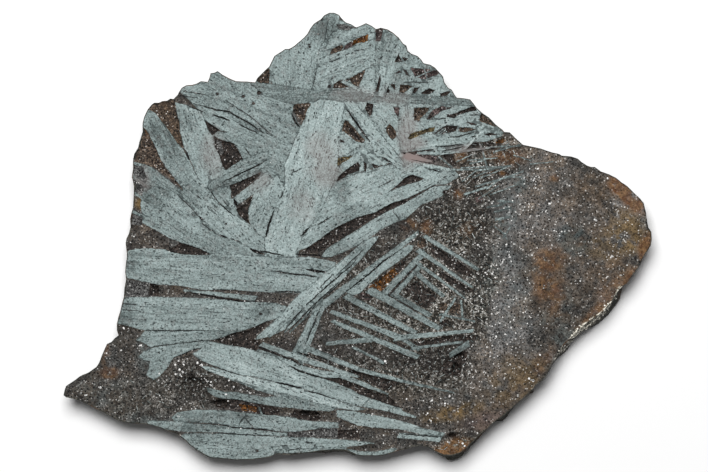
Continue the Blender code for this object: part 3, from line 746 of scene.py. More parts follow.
# The hollows and gaps of the south
SOUTH_POCKETS: tuple[Shape, ...] = (
    *pockets(
        Fill.DARK,
        (-35.4, -25, -32.6, -24.2, -30.2, -23.2, -27, -22.6, -24.9, -21.7, -21.9, -20.2, -22.6, -21.8,
         -25.4, -24.6, -23.5, -25.6, -20.5, -27.3, -19.9, -28.2, -25.2, -27.2, -30.2, -26.1,
         -33.7, -25.3),
        (-46, -3.4, -42.5, -4.3, -38, -4.4, -35.5, -4.3, -38, -3, -42.8, -1.4),
        (-50.1, -11.3, -47.9, -11.6, -47.8, -14.3, -50.2, -14.3),
    ),
    Pocket(Fill.GREY, (-56.5, -10.2, -50.3, -11.2, -50.3, -14.3, -58, -14.6)),
    Pocket(Fill.DARK, (
        -34.8, -39.4, -32, -38.9, -28.1, -39.3, -24.6, -40.2, -20.4, -41, -18.8, -41.6, -19, -42.9,
        -22.3, -42.9, -25.2, -42.3, -28.5, -41.6, -31.5, -41.4, -34, -41)),
    Pocket(Fill.RUST, (-28.8, -40.2, -24.4, -40.8, -24.5, -42.1, -28, -41.7)),
    *laths((-23.9, -40.9, -23.2, -42.7, 0.4, 0.5, 0.2)),
    Pocket(Fill.DARK, (
        -15.5, -41.8, -11.7, -41.7, -9.7, -42.1, -8.5, -43.3, -9.9, -44.2, -14.6, -43.9, -16.1, -43)),
    Pocket(Fill.GREY, (
        -17.2, -46.9, -12, -46.8, -9, -45.9, -5, -46, -4.9, -48.4, -10, -48.2, -17, -48.1)),
    *pockets(
        Fill.DARK,
        (-5, -46.5, 0.3, -46.2, 0, -48.6, -4.7, -48.4),
        (-7.6, -33.9, -4.7, -33.9, -2.3, -34.8, 1.2, -36.2, 4.1, -37.4, 7.1, -38, 10, -41.2, 7.1, -40.3,
         3.8, -39.2, 0, -37.7, -1.7, -36.7, -4.7, -35.4, -7.6, -34.3),
        (-2, -31.8, 0, -32.3, 4.1, -33.3, 7.1, -34.2, 10, -35.2, 7.1, -37.1, 3, -35.4, 0, -33.9,
         -2.9, -32.4),
    ),
    Pocket(Fill.RUST, (
        2.4, -12.2, 3.7, -11.2, 6.7, -8.9, 9, -7.1, 11.1, -5.3, 11.4, -6.2, 10.2, -8, 7.8, -10.6,
        6.1, -12.7, 4.9, -13.3)),
    Pocket(Fill.DARK, (8.8, -7.4, 11.1, -5.3, 11.4, -6.2, 10.2, -8, 9.2, -8.9)),
    Pocket(Fill.PLUM, (-0.1, -13.1, 2.6, -13.9, 3.1, -15, 1.6, -15.4, 0.1, -14.5)),
    *pockets(
        Fill.DARK,
        (6.7, -14.1, 8.5, -12.3, 10, -10.4, 12, -8.3, 13.9, -6.6, 14.2, -7.3, 12.5, -9.2, 10.8, -11.1,
         8.6, -13.4, 7.5, -14.4),
        (10.5, -12.7, 14, -10.6, 16.6, -12.7, 19, -14.1, 17.5, -16.8, 15.7, -17.1, 13.7, -15.9,
         12.5, -13.8),
        (16.5, -2, 19, -2.6, 22, -4.7, 25.5, -7, 27.5, -8.6, 26.5, -9.6, 24, -8.8, 21, -6.6, 18, -4.6),
        (19.5, -8.7, 21, -8.9, 24.3, -11, 27.8, -13.2, 26.5, -13.6, 23.5, -12.3, 20.8, -10.6),
        (9.3, -15, 11.6, -16, 14.6, -17.8, 14.2, -18.4, 11.2, -17, 9.2, -15.8),
        (8.4, -25, 11.3, -26.2, 11, -26.9, 8.7, -26),
        (12, -25.2, 16, -24.9, 21, -24, 25, -23.7, 28.5, -23.5, 29.3, -24.3, 27, -25, 22, -25.2, 17, -26,
         13, -26.6),
    ),
    *pockets(
        Fill.BROWN,
        (19.2, -16.2, 21.5, -16, 20.8, -18, 19.4, -17.5),
        (22.8, -16, 24.4, -16.2, 24.2, -18.4, 21.8, -18.3),
    ),
    Pocket(Fill.DARK, (19.6, -20, 21.6, -20, 21.3, -21.2, 19.3, -21.4)),
    Pocket(Fill.BROWN, (14.2, -1.4, 15.3, -0.5, 16.4, -1, 16.2, -2.4, 14.9, -2.8, 14, -2.3)),
    *pockets(
        Fill.DARK,
        (21.5, -29.3, 24, -28, 26.3, -27.5, 26, -29.5, 24.8, -31.5, 24.5, -33.6, 21, -33.4, 19.5, -31.5),
        (21.2, -47.2, 23.8, -47.4, 24, -48.2, 21.4, -48.3),
    ),
)

# The thin gaps between neighbouring blades
GAPS: tuple[Shape, ...] = slits(
    (0.24, 0.24, -35.4, 10.6, -34.2, 8.9, -32, 6.7, -29.6, 4.8), (0.2, 0.2, -32.4, 8.6, -31.2, 7.2),
    (0.2, 0.2, -43.6, 10.2, -40.4, 7, -37.8, 4.3), (0.24, 0.24, -12.6, -16.6, -8, -12.3, -3.8, -8.6),
    (0.34, 0.2, -11.3, -17, -7.4, -13.4, -4.6, -10.9), (0.26, 0.26, -16.4, -20.4, -13.1, -17.2),
    (0.3, 0.3, -15.8, -21.6, -10.4, -16), (0.2, 0.2, -5.4, -9.4, -1, -5.2, 1.6, -2.7),
    (0.2, 0.2, -9.6, -12.6, -6, -9), (0.68, 0.68, -40, 5.4, -39.3, 5.1),
    (0.51, 0.51, -38.3, 4.9, -37.2, 3.9), (0.21, 0.21, -37.9, 3.4, -34.2, 0.7),
    (0.42, 0.42, -33.6, 0.4, -31.5, -0.3), (0.21, 0.21, -31, -0.4, -28.2, -1.3),
    (0.42, 0.42, -35.5, 11, -35, 10.2), (0.17, 0.17, -35, 8, -33.7, 6.7),
    (0.26, 0.26, -38.8, 9.8, -37.8, 9), (0.51, 0.51, -41.5, 20.8, -40.6, 18.3),
    (0.34, 0.34, -39.4, 31.9, -36.2, 31, -34.2, 30.4, -31, 29.9, -26.7, 27.5, -22.6, 24.7),
    (0.34, 0.34, -35, 29.2, -31, 27.9), (0.26, 0.26, -28.7, 27, -24, 24.7),
    (0.16, 0.16, -32.2, 32.9, -26.4, 29.1, -20.2, 23.9), (0.21, 0.21, -41.5, 31.6, -36.8, 29.7),
    (0.17, 0.17, -43.5, 34, -38.5, 33.2), (0.16, 0.16, -42.5, 35, -36, 33.9),
    (0.21, 0.21, -27.5, 21.5, -26, 19.5), (0.34, 0.34, -32.7, 13, -26.8, 15.8, -21.8, 18.4),
    (0.34, 0.34, -18.6, 9.2, -18.1, 10.7), (0.59, 0.26, -22.2, -0.2, -21.5, 3.1, -20.2, 6.3),
    (0.34, 0.34, -24, -3.4, -18.1, -4.6), (0.68, 0.68, -26, -3, -23, -4.2),
    (0.45, 0.45, -15.1, -4.2, -8.7, -4.7), (0.51, 0.51, -13.7, 0.1, -11.8, 2.2),
    (0.26, 0.26, -9.8, 2.8, -6.4, 4.8), (0.16, 0.16, -16.1, 15.2, -13.9, 16.3),
    (0.17, 0.17, 4.9, 11.9, 8.9, 13.9), (0.42, 0.42, 5.3, 19.2, 8.1, 17.6),
    (0.16, 0.16, 8.1, 6.1, 9.7, 4.2), (0.46, 0.46, -2.8, 30.5, 2.7, 22.8),
    (0.16, 0.16, -10, 40, -10.9, 36.2), (0.26, 0.16, -51.3, -22.6, -43.7, -22.6, -35.2, -22.5),
    (0.16, 0.16, -50, -26.6, -43.7, -25.7, -39.6, -25.2, -35.2, -24.9),
    (0.21, 0.21, -44.4, -29.2, -42.3, -28.3, -40, -27.3, -37.5, -26.7),
    (0.21, 0.21, -44.8, -29.9, -41.5, -28.8, -40, -28.4), (0.26, 0.26, -36, -12.9, -29, -12.9),
    (0.51, 0.26, -41, -13.3, -33.7, -14.7, -27.9, -15.6, -23.8, -15.6),
    (0.34, 0.34, -20, -8.3, -16, -9, -10, -9.6), (0.6, 0.6, -12.5, -7.9, -7.8, -8.6),
    (0.34, 0.34, -20.5, -13.3, -14, -13.3), (0.16, 0.16, -57, -16, -52.5, -16.5),
    (0.16, 0.16, -56.5, -17.6, -52, -18),
    (0.51, 0.26, -24.3, -26.3, -20.5, -28, -16.4, -29.5, -14.1, -30.7, -12.1, -31.3),
    (0.34, 0.34, -16.7, -31.1, -13.5, -32.6, -9.7, -33.6, -7.6, -34.2),
    (0.42, 0.21, -14.8, -27.7, -12.3, -28.6, -5.3, -31.1),
    (0.34, 0.34, -9.9, -28.5, -7.6, -29.8, -5.1, -31),
    (0.17, 0.17, -34, -31.3, -31.1, -32.4, -28.4, -33.2),
    (0.42, 0.42, -19.9, -35, -16.5, -35.7, -13.5, -36.4),
    (0.26, 0.26, -13, -37, -9.7, -37.7, -5.8, -38.9),
    (0.3, 0.3, -34, -44.9, -30.2, -45.8, -23.7, -46.2, -19.9, -46.7),
    (0.16, 0.16, -34, -47.2, -25.2, -47.7, -19.6, -47.8), (0.16, 0.16, -27.1, -43, -28.7, -44.9),
    (0.16, 0.16, -27.3, -43.3, -24.6, -46.8), (0.21, 0.21, -18.9, -50.1, -17, -50.2),
    (0.26, 0.26, -12.9, -49.5, -11.6, -49.4), (0.16, 0.16, -17.3, -51.5, -13.8, -50.6),
    (0.26, 0.26, 10.9, -47.4, 19.7, -48.1), (0.3, 0.3, -12.7, -16.5, -10, -14.4),
    (0.26, 0.26, -8.3, -12.7, -4.5, -9.3, -1.8, -7.1, -0.4, -5.3),
    (0.34, 0.34, -8, -14.4, -5.4, -12.1), (0.26, 0.26, -17.4, -22, -14.7, -19.1),
    (0.26, 0.26, -13, -19.7, -10.1, -16.2), (0.36, 0.36, -3.4, -13.6, 3.1, -8.5, 6, -5.9, 9.6, -3.5),
    (0.26, 0.26, -12.9, -26, -9.6, -18.5), (0.21, 0.21, -12, -24.2, -9, -16.8),
    (0.3, 0.17, 21.5, 23.8, 24, 24.05, 26.5, 24.7, 28.8, 25.2), (0.34, 0.34, 26.7, 23.8, 28.2, 24.2),
    (0.26, 0.26, 21.2, 26.6, 22.4, 26.4, 23.6, 26.5), (0.26, 0.26, 18.6, 21.6, 22, 21.7, 25.2, 22.1),
    (0.3, 0.3, 20, 20.5, 22, 20.8, 24.4, 21.3, 25.3, 21.7), (0.26, 0.26, 16, 20.6, 18.1, 20.9),
    (0.26, 0.26, 26.9, 29.1, 28.9, 29.4), (0.21, 0.21, 16.6, 28.1, 19.4, 28.2, 21, 28.5),
    (0.21, 0.21, -6.9, 37.6, -5.6, 38.4), (0.26, 0.26, -7, 41.9, -5.9, 42.2, -4.4, 42.9),
    (0.26, 0.26, -3.2, 43.4, -2.1, 44), (0.21, 0.21, -1, 44.5, 1.2, 44.9),
    (0.26, 0.26, 4.9, 42.5, 5.8, 43.3), (0.17, 0.17, -7.5, 51.3, -7.9, 48.4),
    (0.17, 0.17, 8.6, 45.2, 9.3, 46.4), (0.16, 0.16, 10.8, 37, 17.5, 37),
    (0.3, 0.3, 16.3, 16.3, 19.8, 15.5),
)

# Small pits in the blades: where each is, and its width
PITS: tuple[Run, ...] = (
    (-27.7, 33.6, 0.9), (-25.2, 32, 0.9), (-33.9, 34.2, 0.8), (-49, 1.3, 1), (-24.9, 1.7, 0.5),
    (-31.8, 3.1, 0.5), (-14, -48.8, 0.4), (-10.5, -50.2, 0.5), (-24.3, -51.5, 0.7), (-23.9, 34.5, 1.2),
    (-23.5, -18.6, 0.8), (-23.5, -4, 0.7), (-11.8, 46.1, 0.6), (-11.7, 45.5, 0.7), (-13.2, 42.6, 0.4),
    (-9.6, 48.5, 0.5), (-12.4, 39.6, 0.4), (4.9, 45, 0.4), (2.8, 45.9, 0.5), (18.2, 20.4, 0.45),
    (19, 20.6, 0.3), (18.9, 23.1, 0.4),
)

# The largest crystals of quartz, as one run of x and y
SPARKLES: Run = (
    -35.4, -35.2, -35.6, -36, -36.8, -34.2, -36.6, -34.8, -41.5, -29.3, -38, -30.8, -42.8, -32.4,
    -32.6, -38.2, -30, -36.4, -26.4, -37.4, -31.2, -34.2, -52.8, -29.6, -35, -35.8, -36.3, -35,
    -43.8, -32.9, -42.4, -32.8, -43.5, -30, -41.9, -30.4, -38.4, -30.3, -37.4, -30.8, -47.8, -33.8,
    -32, -38.7, -31.3, -45.6, -28.6, -45.8, -43.4, -43.4, -39.3, -41.3, -66.5, -37.5, -65.7, -38,
    -52.5, -26.2, -55.6, -21.7, -54, -1, -52.5, 13.2, -33.6, 0.4, -25.8, -37.8, -29.5, -36.9,
    -28.7, -36.9, -15.4, -41.8, -9.5, -26.7, -1, -26.1, 6.5, -30.4, 9.6, -47.1, 3.4, -42.6, 0.2, -48.6,
    -3.7, 0, -4.9, 1.5, 14.1, 0.7, 13.1, -0.6, 13.8, 4.5, 34.2, -6.1, 28.9, -2.4, 37.3, -11.2,
    40.2, -18.2, 26.9, -30.4, 42, -4.5, 32.6, -23.4, 24.6, 15.3, 31.8, 24.5, 42.7, 12.2, 42.2, 13.7,
    43.2, 16.2, 41, -34, 42, -34.8, 21.8, -38.2, 20.5, -39, 17, -44, 11.5, -39.5, 17, -41, 15.5, -39.5,
    17.6, -39.2, 19.4, -40.4, 16.4, -42.4, 18.4, -38.4, 21, -40.4, 14.6, -41.2, 22, -49.4, 24, -49.2,
    25, -50.2, 44, -12, 31.5, -12, 33, -18.6, 36.6, -22, 31, -8.4, 35.4, -2, 38.4, 10, 46, 8, 57, 4,
    60.6, -5, 52.4, -11, 48, -24, -62, -36.6, -57, -35,
)

# Where each tint lies, and where painted shade darkens the west rim: the middle's x and y, the two half
# lengths, the turn and the strength
PATCHES: dict[Mark, tuple[Run, ...]] = {
    Mark.PALE: (
        (34.5, -14, 7, 15, 12, 1.1), (24, -6, 5, 8, 30, 0.6), (43, 18, 9, 4, -25, 0.7),
        (-50, 32, 6, 3, -10, 0.6), (30, 14, 7, 7, 0, 0.5), (43, 4, 10, 8, -10, 0.8),
        (38, 6, 5, 6, -10, 1), (31, -30, 8, 8, -30, 0.7), (53, 0, 12, 8, -20, 0.35),
        (28, -40, 14, 6, 20, 0.15), (38.8, 12.8, 3, 2.6, 0, 0.9), (65, 8, 6, 3, -42, 1.2),
        (63, 2, 5, 5, 0, 0.6), (60, -12, 4, 5, 0, 0.5),
    ),
    Mark.DEEP: (
        (43, -18, 3, 4, 0, 0.35), (52, -1, 3, 3, 0, 0.45), (6, -14, 12, 8, 30, 0.45),
        (1.6, -4, 4, 3, 0, 0.9), (11, -29.4, 4, 2.6, 0, 1), (-6, -28, 3.6, 2, 0, 1),
        (-1, -37, 5, 1.6, -12, 0.9), (-42, 27.4, 3, 3, 0, 0.9), (-4.4, 12, 2.6, 4.4, 10, 1),
        (-22.4, -27, 4, 1.8, -5, 0.8), (-40.4, 10, 4, 2.6, -40, 0.9), (12, 2.3, 3.4, 2.2, 0, 0.8),
        (-29.6, -42.6, 5, 1.6, -5, 0.9), (-6, -2.5, 3.4, 2.6, 0, 0.8), (9, -4.6, 4, 3, 0, 0.7),
        (10.4, -16.4, 4, 3, 0, 0.8), (-3, -16.5, 5, 4, 0, 0.8), (6, -13, 3, 3, 0, 0.5),
        (-1.6, -11.6, 3, 3, 0, 0.5), (16, 2, 3, 2, 0, 0.9), (2.4, -30.2, 5, 1.6, -15, 0.7),
        (-18, -26.2, 7, 1.5, -10, 0.8), (-23.6, -18, 3, 2, 0, 0.9), (-9, 50, 4, 3, 0, 1.2),
        (-46, 23, 3, 6, 25, 1.1), (-49, 12, 3.6, 5, 30, 0.9), (-33.2, 11.6, 3, 2, 0, 1),
        # the patches at (-56, -18.5) and (-55, -5) darken the west rim: painted shade along that edge
        (-32, -35.6, 5, 1.4, -15, 0.8), (-37.8, -45.4, 5, 3, -10, 0.9), (-56, -18.5, 2, 4, 0, 0.9),
        (-55, -5, 1.8, 3.4, 0, 0.9), (-2, -22, 8, 5, -20, 0.5), (24.4, -26, 4, 2.5, 0, 0.8),
        (-4, -27.7, 4, 2, -10, 0.8), (12.5, -28.4, 3, 2, 0, 0.7), (20, -30, 7, 4, 0, 1),
        (8, -29, 12, 3, -20, 0.6), (-3, 3, 5, 3, 30, 0.7), (20, 6, 6, 4, 0, 0.7),
        (29, -3, 2.5, 6, 0, 0.8), (-21, 5, 3, 5, 0, 0.4), (-42, -2, 10, 2.5, -10, 0.3),
        (-28, -24.3, 6, 1.8, 0, 0.7), (-39, -35, 5, 4, -20, 1), (-36, -39.4, 3, 1.6, -20, 0.7),
        (-30, -40, 9, 2, -8, 0.5), (33, 15, 3, 1.5, -10, 0.8), (26, 10, 4, 4, 50, 0.7),
        (27, -47.5, 2, 1, 20, 0.8), (36, 18, 5, 2.4, -12, 0.5), (31, 21, 7, 1, 3, 0.8),
        (38, 17, 3, 1.6, -10, 0.5), (29, 7, 4, 5, 0, 0.6),
    ),
    Mark.SLATE: (
        (36, -12, 6, 10, 12, 0.5), (36, 6, 3.6, 4, 20, 0.8), (52, -1, 3.4, 3.2, 0, 1.5),
        (43.5, -7, 2.2, 3, 0, 0.9), (46, -19, 3, 2, 30, 0.9), (49, -24, 5, 2, 45, 0.8),
        (34.5, 7.4, 2.6, 1.6, 10, 1.4), (34.6, 3.6, 2.2, 1.4, 0, 1.2), (50, -15, 3, 3, 0, 0.6),
        (-50, -45, 8, 3, -15, 0.5), (-60, -38, 8, 4, -10, 0.45), (-50, -29, 3, 5, 0, 0.7),
        (38.8, 12.8, 2.6, 2.2, 0, 1.2),
    ),
    Mark.COARSE: (
        (23, 2, 9, 8, 20, 1.2), (29, -13, 4, 13, -10, 1.1), (10, -15, 18, 13, 0, 1.1),
        (-39, -34.6, 6, 4, -10, 1.1), (31, 19, 9, 5, -5, 1), (28, 12, 6, 5, 0, 1.1),
        (18, -30, 10, 6, -10, 1.2), (2, -33, 16, 4, -12, 1), (-44, -38, 12, 6, 0, 0.4),
        (23, -50.4, 6, 2.4, 15, 0.9),
    ),
    Mark.EARTH: (
        (58, 11, 8, 4, -35, 0.7), (45, 19, 10, 2.4, -25, 0.4), (60, -9, 6, 4, 10, 1),
        (52, -6, 14, 18, 0, 0.4), (34, -38, 12, 7, 30, 0.55), (-46, 26, 3, 8, 20, 0.5),
    ),
    Mark.RUST: (
        (46.4, -6, 3.6, 3.2, 0, 0.9), (45.7, -12.6, 3.8, 5, 8, 0.8), (47, 14, 1.3, 1, 0, 0.8),
        (64.8, 9.6, 5.6, 2, -42, 1.3), (69.2, -5, 1.8, 5, 0, 1.2), (66, -10, 4, 1.8, 50, 1.1),
        (61, -13, 4, 3, 0, 0.5), (58, -17.4, 8, 1.3, 44, 0.7), (45, -29, 4.5, 1.6, 55, 0.4),
        (22.8, -51, 5, 2, 15, 1.5), (-59.8, -32.8, 2.2, 1.6, 0, 0.8), (-61, -27.5, 1.2, 4, 10, 0.5),
        (16.6, 2.3, 1.4, 1.8, 0, 0.7), (12, 2.8, 1.8, 1.4, 0, 0.6), (27.2, 1.8, 2.6, 1.9, 0, 0.3),
        (24.5, 10.6, 1.2, 2, -20, 0.7), (36, 19, 4.2, 2, -12, 0.6), (31.6, 19.6, 2, 1.4, 0, 0.6),
        (33.6, 15.1, 1.8, 0.7, 0, 0.9), (24.4, 19.2, 1.4, 1.4, 0, 0.5), (-50, 27, 1.6, 3, 20, 0.5),
    ),
    Mark.OCHRE: (
        (64, 1, 5, 5, 0, 0.9), (59, -3, 4, 3, 0, 0.5), (38, -34.6, 7, 5, 35, 0.5),
        (24, -50.5, 4, 1.8, 25, 0.4), (22, -42.3, 6, 2, 14, 0.9), (18, -44, 1.6, 1.2, 0, 0.8),
        (-52, 8, 1.8, 1.6, 0, 1),
    ),
    Mark.PINK: (
        (31, -44, 6, 1.8, 14, 1.6), (-52, 14, 2, 3, 0, 0.6), (-8.6, 20.6, 4, 4.4, 0, 0.6),
        (-8, 15, 3.4, 3.4, 0, 0.65), (12, 24, 2.5, 6, 0, 0.75), (-13.5, 8, 3, 4, 0, 0.4),
        (0, 34, 5, 2, 0, 0.4), (8, 33, 4, 2, 0, 0.4), (-35, 20, 2.6, 5, 0, 0.5),
        (-24, 13, 2.6, 2.6, 0, 0.5), (14.5, 18.8, 4, 1.2, -12, 1.8), (14, 22.4, 3, 2, -12, 0.8),
        (28, 21, 5, 1.4, 0, 0.8),
    ),
}


def pit_outline(x: float, y: float, width: float) -> Run:
    """The uneven six-sided outline of a pit, of the given width, as one run of x and y.

    Args:
        x: The middle's x.
        y: The middle's y.
        width: The width.

    Returns:
        The run.
    """
    run = []
    for i in range(6):
        reach = width / 2 * (0.8 + 0.4 * noise.noise(Vector((x + i * 3.1, y, 1.7))))
        angle = i * math.pi / 3
        run += [x + reach * 1.25 * math.cos(angle), y + reach * math.sin(angle)]
    return tuple(run)


def pattern() -> list[Shape]:
    """Every outline on the polished face, each one over those before it.

    Returns:
        The shapes, from the lowest to the topmost.
    """
    pits = pockets(Fill.DARK, *(pit_outline(*pit) for pit in PITS))
    return [
        *WEST_BLADES, *SOUTH_BLADES, *NORTH_BLADES, *NORTH_POCKETS, *EAST_LATHS,
        *SOUTH_POCKETS, *DIAGONAL_BLADES, *LOZENGE_LATHS, *GAPS, *pits,
    ]


@dataclass
class Frame:
    """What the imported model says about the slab, in millimetres."""

    node: bpy.types.Object
    weld: float = 0.002
    level: float = 0.01
    low: Vector = field(init=False)
    high: Vector = field(init=False)

    def __post_init__(self) -> None:
        """Reads the slab's box."""
        low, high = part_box(self.node.name)
        self.low, self.high = low / MM, high / MM

    def shell(self) -> bmesh.types.BMesh:
        """A welded copy of the slab's solid, in millimetres.

        Returns:
            The copy, which the caller frees.
        """
        copy = bmesh.new()
        copy.from_mesh(self.node.data)
        copy.transform(Matrix.Scale(1 / MM, 4))
        bmesh.ops.remove_doubles(copy, verts=copy.verts, dist=self.weld)
        return copy

    def flat_top(self, face: bmesh.types.BMFace) -> bool:
        """Whether a face lies in the plane of the polish."""
        return all(v.co.z > self.high.z - self.level for v in face.verts)


@dataclass
class Hollow:
    """An open hollow in the polished face, read from the solid."""

    middle: Point
    half: Point
    depth: float


@dataclass
class BrokenRim:
    """The broken wall round the slab and its sawn back, as a finer mesh than the solid's."""

    frame: Frame
    step: float = 0.75
    rough: float = 0.34
    ledge: float = 0.30
    chip: float = 0.22
    deepest: float = 0.8
    back_tilt: float = 0.98
    least_lean: float = 0.05
    face_middle: Point = field(init=False)
    places: np.ndarray = field(init=False)
    faces: np.ndarray = field(init=False)
    sides: np.ndarray = field(init=False)
    loop: list[int] = field(init=False)
    hollows: list[Hollow] = field(init=False)

    def build(self) -> None:
        """Cuts the polished face off a copy of the solid and refines what is left."""
        shell = self.frame.shell()
        flat = [f for f in shell.faces if self.frame.flat_top(f)]
        self.face_middle = self._middle_of(flat)
        bmesh.ops.delete(shell, geom=flat, context="FACES")
        self.hollows = self._take_out_hollows(shell)
        self._refine(shell)
        bmesh.ops.triangulate(shell, faces=shell.faces[:])
        shell.verts.ensure_lookup_table()
        shell.verts.index_update()
        self.loop = self._top_loop(shell)
        shell.normal_update()
        self._roughen(shell)
        self.places = np.array([v.co for v in shell.verts])
        self.faces = np.array([[v.index for v in f.verts] for f in shell.faces])
        back = np.array([f.normal.z < -self.back_tilt for f in shell.faces])
        self.sides = np.where(back, Side.SAWN.value, Side.BROKEN.value)
        shell.free()

    def _middle_of(self, faces: list[bmesh.types.BMFace]) -> Point:
        """The middle of the box round some faces, seen from above.

        Args:
            faces: The faces.

        Returns:
            The middle's x and y.
        """
        spots = np.array([v.co[:2] for f in faces for v in f.verts])
        middle = (spots.min(axis=0) + spots.max(axis=0)) / 2
        return float(middle[0]), float(middle[1])

    def _take_out_hollows(self, shell: bmesh.types.BMesh) -> list[Hollow]:
        """Takes the loose bowls of the hollows out of the shell.

        Args:
            shell: The solid without its polished face.

        Returns:
            Where the bowls were and how deep they go.
        """
        islands, seen = [], set()
        for seed in shell.verts:
            if seed in seen:
                continue
            island, edge = [seed], [seed]
            seen.add(seed)
            while edge:
                for link in edge.pop().link_edges:
                    for v in link.verts:
                        if v not in seen:
                            seen.add(v)
                            island.append(v)
                            edge.append(v)
            islands.append(island)
        islands.sort(key=len)
        found = []
        for island in islands[:-1]:
            spots = np.array([v.co for v in island])
            low, high = spots.min(axis=0), spots.max(axis=0)
            middle, half = (low + high) / 2, (high - low) / 2
            found.append(Hollow(
                (float(middle[0]), float(middle[1])), (float(half[0]), float(half[1])),
                float(high[2] - low[2]),
            ))
        loose = [v for island in islands[:-1] for v in island]
        bmesh.ops.delete(shell, geom=loose, context="VERTS")
        return found

    def _refine(self, shell: bmesh.types.BMesh) -> None:
        """Halves the long edges of the wall, twice.

        Args:
            shell: The mesh, which is changed in place.
        """
        for _ in range(2):
            long_edges = [
                e for e in shell.edges
                if e.calc_length() > self.step and max(v.co.z for v in e.verts) > self.frame.level
            ]
            bmesh.ops.subdivide_edges(shell, edges=long_edges, cuts=1, use_grid_fill=True)
            bmesh.ops.triangulate(shell, faces=[f for f in shell.faces if len(f.verts) > 3])

    def _top_loop(self, shell: bmesh.types.BMesh) -> list[int]:
        """The vertices of the wall's open upper edge, in order.

        Args:
            shell: The mesh.

        Returns:
            Their numbers, from one to its neighbour.
        """
        edge = next(e for e in shell.edges if e.is_boundary)
        start, here = edge.verts
        order = [start.index, here.index]
        while True:
            edge = next(e for e in here.link_edges if e.is_boundary and e is not edge)
            here = edge.other_vert(here)
            if here is start:
                return order
            order.append(here.index)

    def _roughen(self, shell: bmesh.types.BMesh) -> None:
        """Breaks the wall into small facets, always inwards, and chips its upper edge.

        Args:
            shell: The mesh, which is changed in place.
        """
        top = set(self.loop)
        moves = {}
        for v in shell.verts:
            if v.co.z < self.frame.level:
                continue
            spot = v.co
            out = Vector((v.normal.x, v.normal.y, 0.0))
            if out.length < self.least_lean:
                continue
            out.normalize()
            if v.index in top:
                dip = max(0.0, noise.noise(spot * 0.9) - 0.05) * self.chip * 2.2
                moves[v] = Vector((0, 0, -dip))
                continue
            facet = noise.voronoi(spot * 0.75)[0][0]
            fine = noise.fractal(spot * 1.7, 0.9, 2.0, 3)
            flaw = abs(noise.noise(Vector((spot.x * 0.25, spot.y * 0.25, spot.z * 1.1))))
            inward = self.rough * (0.9 * facet + 0.5 * abs(fine)) + self.ledge * flaw
            moves[v] = out * -min(self.deepest, inward)
        for v, move in moves.items():
            v.co += move


